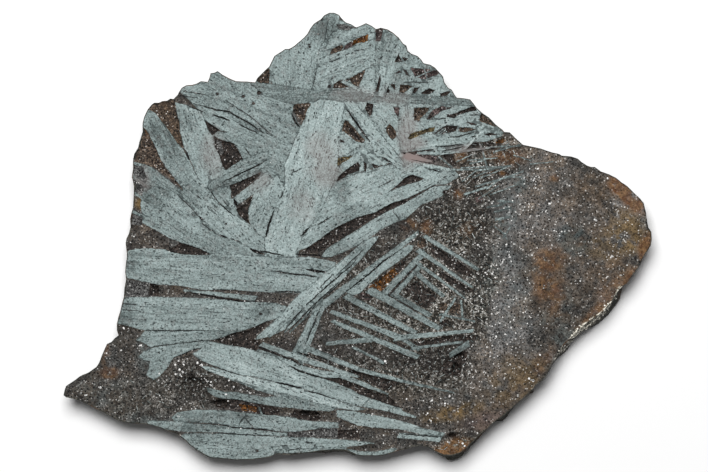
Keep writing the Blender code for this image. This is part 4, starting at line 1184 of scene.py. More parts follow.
@dataclass
class PolishedFace:
    """The polished face as one net of triangles that follows every outline of the pattern."""

    rim: np.ndarray
    top: float
    shift: Point
    hollows: list[Hollow]
    shapes: list[Shape]
    border_step: float = 0.55
    net_step: float = 0.52
    band: float = 0.20
    clearance: float = 0.36
    row_share: float = 0.87
    jitter: float = 0.2
    apart: float = 0.55
    far: float = 3.0
    lap_marks: float = 0.004
    grit: float = 0.10
    seed: int = 11
    places: np.ndarray = field(init=False)
    faces: np.ndarray = field(init=False)
    labels: np.ndarray = field(init=False)
    edge: np.ndarray = field(init=False)
    rim_index: np.ndarray = field(init=False)

    def build(self) -> None:
        """Makes the net, says what lies in each triangle and sinks the hollows."""
        noise.seed_set(self.seed)
        rings = [self._laid(shape.outline(), self.border_step) for shape in self.shapes]
        spots, links = self._border_points(rings)
        spots += self._filling(np.array(spots))
        net = delaunay_2d_cdt([Vector(s) for s in spots], links, [], 0, 1e-4)
        flat, triangles, sources = net[0], net[2], net[3]
        plan = np.array([[v[0], v[1]] for v in flat])
        corners = np.array(triangles)
        middles = plan[corners].mean(axis=1)
        corners = corners[inside(middles, self.rim)]
        corners = self._facing_up(plan, corners)
        self.labels = self._labelled(plan[corners].mean(axis=1), rings)
        count = len(self.rim)
        self.rim_index = np.full(len(plan), -1)
        for i, source in enumerate(sources):
            on_rim = [s for s in source if s < count]
            if on_rim:
                self.rim_index[i] = on_rim[0]
        self.faces = corners
        self.edge = self._edge_distance(plan)
        self.places = np.column_stack([plan, self._heights(plan)])

    def _laid(self, outline: list[Point], step: float) -> np.ndarray:
        """An outline on the slab, with points at a small step, each a little off its line.

        Args:
            outline: The corners, in the pattern's millimetres.
            step: From point to point, at most.

        Returns:
            The points' x and y on the slab.
        """
        ring = []
        for x, y in stepped(outline, step):
            coarse = noise.noise_vector(Vector((x * 0.35, y * 0.35, 0.0)))
            fine = noise.noise_vector(Vector((x * 1.3, y * 1.3, 9.0)))
            ring.append((
                x + self.shift[0] + 0.12 * coarse.x + 0.13 * fine.x,
                y + self.shift[1] + 0.12 * coarse.y + 0.13 * fine.y,
            ))
        return np.array(ring)

    def rim_distance(self, spots: np.ndarray) -> np.ndarray:
        """How far each point is from the rim.

        Args:
            spots: The points' x and y.

        Returns:
            One distance a point.
        """
        tree = tree_of(stepped([tuple(p) for p in self.rim], 0.2))
        return np.array([tree.find((x, y, 0))[2] for x, y in spots])

    def _clear_of_rim(self, spots: np.ndarray) -> np.ndarray:
        """Tells which points are inside the rim, with a little room."""
        return inside(spots, self.rim) & (self.rim_distance(spots) > self.clearance)

    def _border_points(self, rings: list[np.ndarray]) -> tuple[list[Point], list[tuple[int, int]]]:
        """The points and links that the net has to keep.

        Args:
            rings: The outlines of the shapes.

        Returns:
            The points, the rim's first, and the pairs of them that are joined.
        """
        spots = [tuple(p) for p in self.rim]
        count = len(spots)
        links = [(i, (i + 1) % count) for i in range(count)]
        ahead = np.roll(self.rim, -1, axis=0) - np.roll(self.rim, 1, axis=0)
        inward = np.column_stack([-ahead[:, 1], ahead[:, 0]])
        inward *= self.band / np.linalg.norm(inward, axis=1, keepdims=True)
        if inside(self.rim + inward, self.rim).mean() <= 0.5:
            inward = -inward
        band = self.rim + inward
        spots += [tuple(p) for p in band]
        links += [(count + i, count + (i + 1) % count) for i in range(count)]
        every = np.concatenate(rings)
        kept = self._clear_of_rim(every)
        first = 0
        for ring in rings:
            size = len(ring)
            held = kept[first:first + size]
            numbers = np.full(size, -1)
            for i in np.flatnonzero(held):
                numbers[i] = len(spots)
                spots.append(tuple(ring[i]))
            for i in range(size):
                pair = (int(numbers[i]), int(numbers[(i + 1) % size]))
                if min(pair) >= 0:
                    links.append(pair)
            first += size
        return spots, links

    def _filling(self, fixed: np.ndarray) -> list[Point]:
        """Loose points that fill the net between its borders, in even, jittered rows.

        Args:
            fixed: The points that the net has already.

        Returns:
            The loose points inside the rim.
        """
        dice = random.Random(self.seed)
        tree = tree_of(fixed)
        low, high = self.rim.min(axis=0), self.rim.max(axis=0)
        step = self.net_step
        loose = []
        for row in range(int((high[1] - low[1]) / (step * self.row_share)) + 1):
            for column in range(int((high[0] - low[0]) / step) + 2):
                x = low[0] + (column + 0.5 * (row % 2)) * step
                y = low[1] + row * step * self.row_share
                x += dice.uniform(-self.jitter, self.jitter) * step
                y += dice.uniform(-self.jitter, self.jitter) * step
                if tree.find((x, y, 0))[2] > self.apart * step:
                    loose.append((x, y))
        for shape in self.shapes:
            for x, y in shape.spine():
                loose.append((x + self.shift[0], y + self.shift[1]))
        loose_array = np.array(loose)
        return [tuple(p) for p in loose_array[self._clear_of_rim(loose_array)]]

    def _facing_up(self, plan: np.ndarray, corners: np.ndarray) -> np.ndarray:
        """The triangles, each turned so that it faces up.

        Args:
            plan: The x and y of the net's points.
            corners: The three points of each triangle.

        Returns:
            The corners, in the order that faces up.
        """
        a, b, c = (plan[corners[:, i]] for i in range(3))
        area = (b[:, 0] - a[:, 0]) * (c[:, 1] - a[:, 1]) - (b[:, 1] - a[:, 1]) * (c[:, 0] - a[:, 0])
        turned = corners.copy()
        turned[area < 0] = corners[area < 0][:, ::-1]
        return turned

    def _labelled(self, middles: np.ndarray, rings: list[np.ndarray]) -> np.ndarray:
        """For each triangle, the number of the topmost shape over it, or -1 for the ground.

        Args:
            middles: The middle of each triangle.
            rings: The outlines of the shapes.

        Returns:
            One number a triangle.
        """
        labels = np.full(len(middles), -1)
        for number, ring in enumerate(rings):
            low, high = ring.min(axis=0), ring.max(axis=0)
            near = np.flatnonzero(((middles >= low) & (middles <= high)).all(axis=1))
            if len(near):
                labels[near[inside(middles[near], ring)]] = number
        return labels

    def _edge_distance(self, plan: np.ndarray) -> np.ndarray:
        """How far each point is from the nearest border between two shapes.

        Args:
            plan: The x and y of the net's points.

        Returns:
            One distance a point.
        """
        least = np.full(len(plan), 10 ** 6)
        most = np.full(len(plan), -2)
        for i in range(3):
            np.minimum.at(least, self.faces[:, i], self.labels)
            np.maximum.at(most, self.faces[:, i], self.labels)
        tree = tree_of(plan[least < most])
        return np.array([min(self.far, tree.find((x, y, 0))[2]) for x, y in plan])

    def _heights(self, plan: np.ndarray) -> np.ndarray:
        """The height of each point: flush on the blades, sunk between them.

        Args:
            plan: The x and y of the net's points.

        Returns:
            One height a point.
        """
        fills = [Fill.GROUND if n < 0 else self.shapes[n].fill for n in range(-1, len(self.shapes))]
        depths = np.array([BEDS[fill].depth for fill in fills])[self.labels + 1]
        blade = np.array([fill is Fill.BLADE for fill in fills])[self.labels + 1]
        total, weight = np.zeros(len(plan)), np.zeros(len(plan))
        flush = np.zeros(len(plan), bool)
        for i in range(3):
            np.add.at(total, self.faces[:, i], depths)
            np.add.at(weight, self.faces[:, i], 1.0)
            flush[self.faces[blade, i]] = True
        depth = total / np.maximum(weight, 1.0)
        dice = np.random.default_rng(self.seed)
        grit = dice.random(len(plan))
        heights = np.full(len(plan), self.top)
        for i, (x, y) in enumerate(plan):
            if self.rim_index[i] >= 0:
                continue
            if flush[i]:
                heights[i] -= self.lap_marks * grit[i]
                continue
            lump = 0.5 + 0.5 * noise.noise(Vector((x * 0.8, y * 0.8, 3.0)))
            slope = min(1.0, 0.35 + self.edge[i] / 0.6)
            heights[i] -= depth[i] * slope * (0.55 + 0.9 * lump) + self.grit * grit[i] ** 2
            heights[i] -= self._bowl(x, y)
        return heights

    def _bowl(self, x: float, y: float) -> float:
        """How much an open hollow takes off at a point.

        Args:
            x: The point's x.
            y: The point's y.

        Returns:
            The depth, or nought.
        """
        deepest = 0.0
        for hollow in self.hollows:
            reach = math.hypot(
                (x - hollow.middle[0]) / hollow.half[0], (y - hollow.middle[1]) / hollow.half[1]
            )
            reach += 0.25 * noise.noise(Vector((x * 1.1, y * 1.1, 5.0)))
            if reach < 1.0:
                deepest = max(deepest, hollow.depth * math.sqrt(1.0 - reach * reach))
        return deepest

    def rim_broken(self) -> np.ndarray:
        """Tells which triangles belong to the broken rim: those in the band along it."""
        on_rim = self.rim_index >= 0
        return on_rim[self.faces].any(axis=1)

    def tints(self) -> dict[Mark, np.ndarray]:
        """How strongly each tint shows at each point of the face.

        Returns:
            One strength a point for each tint.
        """
        strengths = {mark: np.zeros(len(self.places)) for mark in Mark}
        x = self.places[:, 0] - self.shift[0]
        y = self.places[:, 1] - self.shift[1]
        wobble = np.array([noise.noise(Vector((a * 0.22, b * 0.22, 7.0))) for a, b in zip(x, y)])
        for mark, rows in PATCHES.items():
            for row in rows:
                strengths[mark] = np.maximum(strengths[mark], Patch(*row).cover(x, y, wobble))
        return strengths


class Flow:
    """A shader socket on which Python's own operators add Math nodes."""

    def __init__(self, graph: "Graph", socket: bpy.types.NodeSocket) -> None:
        """Keeps the socket and the graph that it belongs to."""
        self.graph = graph
        self.socket = socket

    def _math(self, operation: str, *terms: Any) -> "Flow":
        """A Math node on some terms, each a flow or a number."""
        return self.graph.node(
            "ShaderNodeMath", {"operation": operation}, dict(enumerate(terms))
        )

    def __add__(self, other: Any) -> "Flow":
        """This value plus another."""
        return self._math("ADD", self, other)

    def __radd__(self, other: Any) -> "Flow":
        """Another value plus this one."""
        return self._math("ADD", other, self)

    def __sub__(self, other: Any) -> "Flow":
        """This value less another."""
        return self._math("SUBTRACT", self, other)

    def __rsub__(self, other: Any) -> "Flow":
        """Another value less this one."""
        return self._math("SUBTRACT", other, self)

    def __mul__(self, other: Any) -> "Flow":
        """This value times another."""
        return self._math("MULTIPLY", self, other)

    def __rmul__(self, other: Any) -> "Flow":
        """Another value times this one."""
        return self._math("MULTIPLY", other, self)

    def over(self, other: Any) -> "Flow":
        """One where this value is greater than another, and nought elsewhere."""
        return self._math("GREATER_THAN", self, other)

    def highest(self, other: Any) -> "Flow":
        """The greater of this value and another."""
        return self._math("MAXIMUM", self, other)

    def clamped(self) -> "Flow":
        """This value, held between nought and one."""
        return self.graph.node(
            "ShaderNodeMath", {"operation": "ADD", "use_clamp": True}, {0: self, 1: 0.0}
        )

    def ramp(self, low: float, high: float) -> "Flow":
        """A smooth step from nought at low to one at high."""
        return self.graph.node(
            "ShaderNodeMapRange", {"interpolation_type": "SMOOTHSTEP"},
            {"Value": self, "From Min": low, "From Max": high, "To Min": 0.0, "To Max": 1.0},
        )


class Graph:
    """The nodes of one material."""

    def __init__(self, name: str) -> None:
        """Makes an empty material of that name."""
        self.material = bpy.data.materials.new(name)
        self.material.use_nodes = True
        self.tree = self.material.node_tree
        self.tree.nodes.clear()

    def node(
        self, kind: str, settings: dict[str, Any] | None = None,
        values: dict[int | str, Any] | None = None, output: int | str = 0,
    ) -> Flow:
        """Adds a node.

        Args:
            kind: The node's type.
            settings: Its settings, among them stops for a ramp's colours.
            values: What goes into its sockets, by name or number: a flow, a number or a tuple.
            output: Which of its outputs to hand back.

        Returns:
            That output.
        """
        made = self.tree.nodes.new(kind)
        for name, value in (settings or {}).items():
            if name == "stops":
                self._set_stops(made.color_ramp, value)
            else:
                setattr(made, name, value)
        for key, value in (values or {}).items():
            socket = self._input(made, key)
            if isinstance(value, Flow):
                self.tree.links.new(value.socket, socket)
            else:
                socket.default_value = value
        return Flow(self, self._output(made, output))

    def _input(self, made: bpy.types.Node, key: int | str) -> bpy.types.NodeSocket:
        """The enabled input of that name or number."""
        if isinstance(key, int):
            return made.inputs[key]
        return next(s for s in made.inputs if s.name == key and s.enabled)

    def _output(self, made: bpy.types.Node, key: int | str) -> bpy.types.NodeSocket:
        """The enabled output of that name or number."""
        enabled = [s for s in made.outputs if s.enabled]
        return enabled[key] if isinstance(key, int) else next(s for s in enabled if s.name == key)

    def _set_stops(self, ramp: bpy.types.ColorRamp, stops: Sequence[tuple[float, str]]) -> None:
        """Gives a colour ramp its stops.

        Args:
            ramp: The ramp, which is changed in place.
            stops: The place and colour of each stop.
        """
        while len(ramp.elements) < len(stops):
            ramp.elements.new(1.0)
        for element, (place, colour) in zip(ramp.elements, stops):
            element.position = place
            element.color = linear(colour)

    def spot(self) -> Flow:
        """The place on the piece, in millimetres."""
        place = self.node("ShaderNodeTexCoord", None, None, "Object")
        return self.stretched(place, (1 / MM, 1 / MM, 1 / MM))

    def attribute(self, name: str, output: str = "Fac") -> Flow:
        """An attribute of the mesh."""
        return self.node("ShaderNodeAttribute", {"attribute_name": name}, output=output)

    def stretched(self, vector: Flow, factors: tuple[float, float, float]) -> Flow:
        """A vector, scaled along each axis."""
        return self.node(
            "ShaderNodeVectorMath", {"operation": "MULTIPLY"}, {0: vector, 1: factors}
        )

    def clouds(self, vector: Flow, scale: float, detail: float = 2.0) -> Flow:
        """A soft random pattern, about one half on average."""
        return self.node(
            "ShaderNodeTexNoise", None, {"Vector": vector, "Scale": scale, "Detail": detail}
        )

    def cells(self, vector: Flow, scale: float, output: str = "Color") -> Flow:
        """A pattern of small cells."""
        return self.node(
            "ShaderNodeTexVoronoi", None, {"Vector": vector, "Scale": scale}, output=output
        )

    def part(self, colour: Flow, channel: int) -> Flow:
        """One channel of a colour."""
        return self.node("ShaderNodeSeparateColor", None, {"Color": colour}, output=channel)

    def shades(self, amount: Flow, stops: Sequence[tuple[float, str]]) -> Flow:
        """A colour from a ramp of colours."""
        return self.node("ShaderNodeValToRGB", {"stops": stops}, {"Fac": amount})

    def mixed(self, amount: Any, first: Any, second: Any, blend: str = "MIX") -> Flow:
        """Two colours, mixed.

        Args:
            amount: How much of the second.
            first: The first colour, a flow or a hexadecimal name.
            second: The second colour, the same way.
            blend: How they are mixed.

        Returns:
            The mixed colour.
        """
        pair = [linear(c) if isinstance(c, str) else c for c in (first, second)]
        return self.node(
            "ShaderNodeMix", {"data_type": "RGBA", "blend_type": blend},
            {"Factor": amount, "A": pair[0], "B": pair[1]},
        )

    def finish(self, sockets: dict[str, Any]) -> bpy.types.Material:
        """Ends the graph in a surface shader and hands back the material.

        Args:
            sockets: What goes into the shader's sockets.

        Returns:
            The material.
        """
        surface = self.node("ShaderNodeBsdfPrincipled", None, sockets)
        end = self.tree.nodes.new("ShaderNodeOutputMaterial")
        self.tree.links.new(surface.socket, end.inputs["Surface"])
        return self.material


def linear(colour: str) -> tuple[float, float, float, float]:
    """A colour such as #8f9f9f as the numbers that a shader takes.

    Args:
        colour: The colour, in hexadecimal.

    Returns:
        Red, green, blue and a one.
    """
    parts = [int(colour[i:i + 2], 16) / 255 for i in (1, 3, 5)]
    red, green, blue = (
        p / 12.92 if p <= 0.04045 else ((p + 0.055) / 1.055) ** 2.4 for p in parts
    )
    return red, green, blue, 1.0


@dataclass(frozen=True)
class RockFinish:
    """The finish of the slab: polished blades, granular ground, broken rim and sawn back."""

    blade_stops: tuple[tuple[float, str], ...] = (
        (0.0, "#323938"), (0.25, "#576160"), (0.5, "#7e8b8a"), (0.75, "#9ba9a8"), (1.0, "#bfcac8"),
    )
    ground_stops: tuple[tuple[float, str], ...] = (
        (0.0, "#131211"), (0.3, "#302e2c"), (0.55, "#504e4b"), (0.8, "#7b7875"), (1.0, "#b0aeaa"),
    )
    pale_stops: tuple[tuple[float, str], ...] = (
        (0.0, "#292827"), (0.3, "#51504f"), (0.55, "#71706f"), (0.8, "#979594"), (1.0, "#c8c6c3"),
    )
    coarse_stops: tuple[tuple[float, str], ...] = (
        (0.0, "#0d0b0a"), (0.32, "#1b1a16"), (0.5, "#393229"), (0.64, "#5e5a52"), (0.82, "#95948f"),
        (1.0, "#d6d4cf"),
    )
    casts: tuple[tuple[float, str], ...] = (
        (0.36, "#cdd9dd"), (0.5, "#f2efec"), (0.64, "#f4ddc2"),
    )
    bed_shades: tuple[tuple[float, str], ...] = (
        (0.0, "#3a3a3a"), (0.35, "#5c5c5c"), (0.55, "#8c8c8c"), (0.8, "#e0e0e0"), (1.0, "#ffffff"),
    )
    seam: str = "#1b2424"
    dust: str = "#433e37"
    earth: str = "#80684f"
    rust: str = "#a2774b"
    burnt: str = "#6b4526"
    ochre: str = "#8f7447"
    slate: str = "#6a7878"
    pink: str = "#7d706d"
    # the colour of the painted glints on the blades and in the ground
    glint: str = "#f4f3ef"
    wall: str = "#33342f"
    crust: str = "#f6f1e2"
    sawn: str = "#5c5f5f"

    def material(self) -> bpy.types.Material:
        """Makes the material of the whole slab.

        Returns:
            The material.
        """
        graph = Graph("polished_rock")
        spot = graph.spot()
        blade = graph.attribute("blade")
        side = graph.attribute("side")
        metal, streaks = self._blades(graph, spot)
        ground, grit = self.ground(graph, spot)
        face = graph.mixed(blade, ground, metal)
        broken = self._broken(graph, spot, grit)
        colour = graph.mixed(side.ramp(0.4, 0.6), face, broken)
        colour = graph.mixed(side.ramp(1.4, 1.6), colour, self._sawn(graph, spot, grit))
        colour = self._crusted(graph, spot, colour)
        polished = blade * (1 - side.ramp(0.4, 0.6))
        gloss = graph.clouds(spot, 0.6)
        rough = 0.62 - 0.12 * polished + 0.10 * (gloss - 0.5) + 0.12 * side.ramp(0.4, 0.6)
        relief = polished * (streaks * 0.35) + (1 - polished) * grit
        bump = graph.node(
            "ShaderNodeBump", None,
            {"Strength": 0.35, "Distance": 0.12 * MM, "Height": relief}, "Normal",
        )
        return graph.finish({
            "Base Color": colour, "Roughness": rough, "Metallic": polished * 0.25,
            "Normal": bump, "IOR": 1.5, "Specular IOR Level": 0.15,
        })

    def _blades(self, graph: Graph, spot: Flow) -> tuple[Flow, Flow]:
        """The colour of the hematite blades, with painted glints, and the streaks along them.

        Args:
            graph: The material's nodes.
            spot: The place.

        Returns:
            The colour and the streaks.
        """
        grain = graph.attribute("grain", "Vector")
        tone, edge = graph.attribute("tone"), graph.attribute("edge")
        broad = graph.clouds(graph.stretched(grain, (0.10, 0.75, 1.0)), 1.0, 1.0)
        streak = graph.clouds(graph.stretched(grain, (0.30, 3.2, 1.0)), 1.0, 2.0)
        hair = graph.clouds(graph.stretched(grain, (0.9, 7.5, 1.0)), 1.0, 1.0)
        speck = graph.clouds(spot, 3.4, 2.0)
        mottle = graph.clouds(spot, 1.3, 3.0)
        cloud = graph.clouds(spot, 0.13, 2.0)
        amount = 0.48 + tone * 0.24 + (broad - 0.5) * 0.42 + (streak - 0.5) * 0.26
        amount = amount + (hair - 0.5) * 0.16 + (speck - 0.5) * 0.62
        amount = amount + (mottle - 0.5) * 0.24 + (cloud - 0.5) * 0.26
        dots = graph.cells(spot, 3.6)
        first, second = graph.part(dots, 0), graph.part(dots, 1)
        amount = amount + (first - 0.5) * 0.24 - graph.attribute(Mark.DEEP.value) * 0.20
        colour = graph.shades(amount.clamped(), self.blade_stops)
        tarnish = graph.clouds(spot, 0.9, 3.0)
        colour = graph.mixed((tarnish - 0.48).clamped() * 0.7, colour, self.pink)
        lines = graph.clouds(graph.stretched(grain, (0.22, 3.6, 2.0)), 1.0, 1.0)
        dark = lines.ramp(0.62, 0.68) * mottle.ramp(0.40, 0.53)
        chosen = graph.part(graph.cells(spot, 1.15), 0)
        near = graph.cells(spot, 1.15, "Distance")
        pits = (1 - near.ramp(0.12, 0.24)) * chosen.over(0.78)
        nicks = graph.stretched(grain, (0.5, 1.0, 1.0))
        picked = graph.part(graph.cells(nicks, 1.9), 0).over(0.82)
        nicked = picked * (1 - graph.cells(nicks, 1.9, "Distance").ramp(0.26, 0.40))
        black = (second.over(0.90) * 0.7).highest(nicked) * tarnish.ramp(0.36, 0.50)
        chips = ((mottle - 0.43) * 1.3 - edge).ramp(0.0, 0.06)
        shadow = (dark * 0.75).highest(pits * 0.85).highest(chips * 0.7).highest(black * 0.95)
        colour = graph.mixed(shadow, colour, self.seam)
        # painted glints: sparse white flecks on the blades, in the glint colour
        flecks = (1 - near.ramp(0.08, 0.16)) * (1 - chosen.ramp(0.02, 0.03))
        colour = graph.mixed(flecks * 0.6, colour, self.glint)
        colour = graph.mixed(graph.attribute(Mark.PINK.value) * 0.55, colour, self.pink)
        return colour, streak

    def ground(self, graph: Graph, spot: Flow) -> tuple[Flow, Flow]:
        """The colour of the granular ground and the hollows' floors, with painted glints, and their grit.

        Args:
            graph: The material's nodes.
            spot: The place.

        Returns:
            The colour and the grit.
        """
        marks = {mark: graph.attribute(mark.value) for mark in Mark}
        pale, rough = marks[Mark.PALE], marks[Mark.COARSE]
        cells, fine_cells = graph.cells(spot, 1.6), graph.cells(spot, 3.9)
        coarse, other = graph.part(cells, 0), graph.part(cells, 1)
        fine, spare = graph.part(fine_cells, 0), graph.part(fine_cells, 1)
        cloud = graph.clouds(spot, 0.32, 3.0)
        blotch = graph.clouds(spot, 0.75, 3.0)
        mix = coarse * 0.22 + fine * 0.42 + (cloud - 0.5) * 0.5 + (blotch - 0.5) * 0.5 + 0.18
        dark = graph.shades((mix - 0.03).clamped(), self.ground_stops)
        light = graph.shades((mix + 0.02).clamped(), self.pale_stops)
        colour = graph.mixed(pale, dark, light)
        dusty = graph.clouds(spot, 0.45, 3.0).ramp(0.48, 0.66) * (0.55 - 0.35 * pale)
        colour = graph.mixed(dusty, colour, self.dust)
        hue = graph.clouds(spot, 0.15, 3.0) * 0.7 + graph.clouds(spot, 1.9, 2.0) * 0.5 - 0.1
        hue = graph.shades(hue.clamped(), self.casts)
        colour = graph.mixed(0.7, colour, hue, "MULTIPLY")
        mauve = (marks[Mark.PINK] * 0.6).clamped()
        colour = graph.mixed(mauve, colour, self._shaded(graph, self.pink, mix))
        chunks = (other * 0.48 + fine * 0.52 + (blotch - 0.5) * 0.3).clamped()
        chunky = rough * (0.45 + blotch * 0.9)
        colour = graph.mixed(chunky.clamped(), colour, graph.shades(chunks, self.coarse_stops))
        slate = marks[Mark.SLATE] * blotch.ramp(0.38, 0.56)
        colour = graph.mixed(slate * 0.6, colour, self._shaded(graph, self.slate, mix))
        deep = marks[Mark.DEEP] * (0.35 + blotch)
        colour = graph.mixed(deep.clamped() * 0.75, colour, "#181413")
        bed, filled = graph.attribute("bed", "Color"), graph.attribute("bed", "Alpha")
        speckle = (fine * 0.55 + coarse * 0.25 + blotch * 0.5 - 0.18).clamped()
        shade = graph.shades(speckle, self.bed_shades)
        colour = graph.mixed(filled, colour, graph.mixed(1.0, bed, shade, "MULTIPLY"))
        earth = marks[Mark.EARTH] * cloud.ramp(0.35, 0.6)
        colour = graph.mixed(earth * 0.7, colour, self._shaded(graph, self.earth, mix))
        blot = graph.clouds(spot, 0.42, 4.0)
        ochre = marks[Mark.OCHRE] * (1 - blot).ramp(0.36, 0.54)
        colour = graph.mixed((ochre * 0.85).clamped(), colour, self._shaded(graph, self.ochre, mix))
        rust = (marks[Mark.RUST] * blot.ramp(0.28, 0.52)).clamped()
        burnt = graph.mixed(blotch.ramp(0.40, 0.60), self.rust, self.burnt)
        rusted = rust * (0.25 + 0.6 * cloud + 0.5 * blotch).clamped()
        colour = graph.mixed(rusted, colour, self._shaded(graph, burnt, mix + 0.04))
        black = spare.over(0.93) * (1 - rust * 0.6)
        colour = graph.mixed(black * 0.7, colour, "#100e0d")
        # painted glints: sparse white specks in the glint colour, standing in for reflected sparkle
        bright = fine.over(0.972) * (0.35 + 0.65 * pale) * (1 - rust * 0.9)
        grit = coarse * 0.6 + fine * 0.4
        return graph.mixed(bright * 0.8, colour, self.glint), grit

    def _shaded(self, graph: Graph, colour: Any, mix: Flow) -> Flow:
        """A colour that follows the light and dark of the grit."""
        shade = graph.shades(mix.clamped(), ((0.0, "#343434"), (0.5, "#bcbcbc"), (1.0, "#ffffff")))
        return graph.mixed(1.0, colour, shade, "MULTIPLY")

    def _broken(self, graph: Graph, spot: Flow, grit: Flow) -> Flow:
        """The colour of the broken rim.

        Args:
            graph: The material's nodes.
            spot: The place.
            grit: The grit.

        Returns:
            The colour.
        """
        cloud = graph.clouds(spot, 0.3, 4.0)
        amount = grit * 0.6 + cloud * 0.5 - 0.12
        colour = graph.shades(amount.clamped(), (
            (0.0, "#131211"), (0.4, self.wall), (0.75, "#5b5850"), (1.0, "#8d877b"),
        ))
        rust = graph.clouds(spot, 0.18, 3.0).ramp(0.52, 0.68)
        return graph.mixed(rust * 0.5, colour, "#5f3d22")

    def _crusted(self, graph: Graph, spot: Flow, colour: Flow) -> Flow:
        """A colour under the pale crust, which is broken by fine cracks along the rim.

        Args:
            graph: The material's nodes.
            spot: The place.
            colour: What lies under it.

        Returns:
            The colour with the crust on it.
        """
        crust = graph.attribute(Mark.CRUST.value)
        along = graph.node(
            "ShaderNodeVectorRotate", {"rotation_type": "Z_AXIS"},
            {"Vector": spot, "Angle": -math.radians(CRUST_TURN)},
        )
        cracks = graph.node(
            "ShaderNodeTexVoronoi", {"feature": "DISTANCE_TO_EDGE"},
            {"Vector": graph.stretched(along, (0.45, 1.2, 1.0)), "Scale": 1.0},
        )
        streaks = graph.clouds(graph.stretched(along, (0.55, 1.3, 1.3)), 1.0, 4.0)
        patchy = streaks.ramp(0.43, 0.55) * cracks.ramp(0.03, 0.10)
        ragged = graph.clouds(spot, 0.4, 3.0).ramp(0.38, 0.62)
        amount = (crust * 1.9 - ragged * 0.9).clamped() * patchy
        return graph.mixed(amount, colour, self.crust)

    def _sawn(self, graph: Graph, spot: Flow, grit: Flow) -> Flow:
        """The colour of the sawn back, with the faint marks of the saw across it.

        Args:
            graph: The material's nodes.
            spot: The place.
            grit: The grit.

        Returns:
            The colour.
        """
        cloud = graph.clouds(spot, 0.12, 4.0)
        amount = grit * 0.55 + cloud * 0.6 - 0.1
        colour = graph.shades(amount.clamped(), (
            (0.0, "#23211f"), (0.45, "#484541"), (0.7, self.sawn), (1.0, "#85898a"),
        ))
        kerf = graph.clouds(graph.stretched(spot, (0.02, 2.2, 0.02)), 1.0, 1.0)
        colour = graph.mixed(kerf.ramp(0.5, 0.62) * 0.25, colour, "#8a8d8c")
        rust = graph.clouds(spot, 0.09, 3.0).ramp(0.55, 0.68)
        return graph.mixed(rust * 0.45, colour, "#6a4526")


@dataclass(frozen=True)
class GrainFinish:
    """The finish of the loose grains: most like the ground, a few of clear, bright quartz."""

    rock: RockFinish = RockFinish()
    stops: tuple[tuple[float, str], ...] = (
        (0.0, "#4a4a4a"), (0.4, "#9a9a9a"), (0.8, "#ffffff"), (1.0, "#ffffff"),
    )
    sliver_stops: tuple[tuple[float, str], ...] = (
        (0.0, "#343a39"), (0.6, "#6f7876"), (1.0, "#bcc3c1"),
    )
    crust_stops: tuple[tuple[float, str], ...] = (
        (0.0, "#3b3d35"), (0.35, "#8d8b7e"), (0.5, "#f4f0e0"), (1.0, "#fffdf6"),
    )
    quartz: str = "#f7f6f3"

    def material(self) -> bpy.types.Material:
        """Makes the material of the grains.

        Returns:
            The material.
        """
        graph = Graph("quartz_and_ore")
        spot = graph.spot()
        glint = graph.attribute("glint")
        ground, _ = self.rock.ground(graph, spot)
        shade = graph.shades(glint.clamped(), self.stops)
        colour = graph.mixed(1.0, ground, graph.mixed(0.35, shade, "#ffffff", "ADD"), "MULTIPLY")
        clear = (glint - 0.03 * graph.attribute("bed", "Alpha")).ramp(0.945, 0.965)
        colour = graph.mixed(clear * 0.9, colour, self.quartz)
        sliver = graph.shades((glint - 2.0).clamped(), self.sliver_stops)
        colour = graph.mixed(glint.ramp(1.2, 1.3), colour, sliver)
        scale = graph.shades((glint - 4.0).clamped(), self.crust_stops)
        colour = graph.mixed(glint.ramp(3.4, 3.6), colour, scale)
        return graph.finish({
            "Base Color": colour, "Roughness": 0.5 - clear * 0.3, "IOR": 1.54,
            "Specular IOR Level": 0.2,
        })


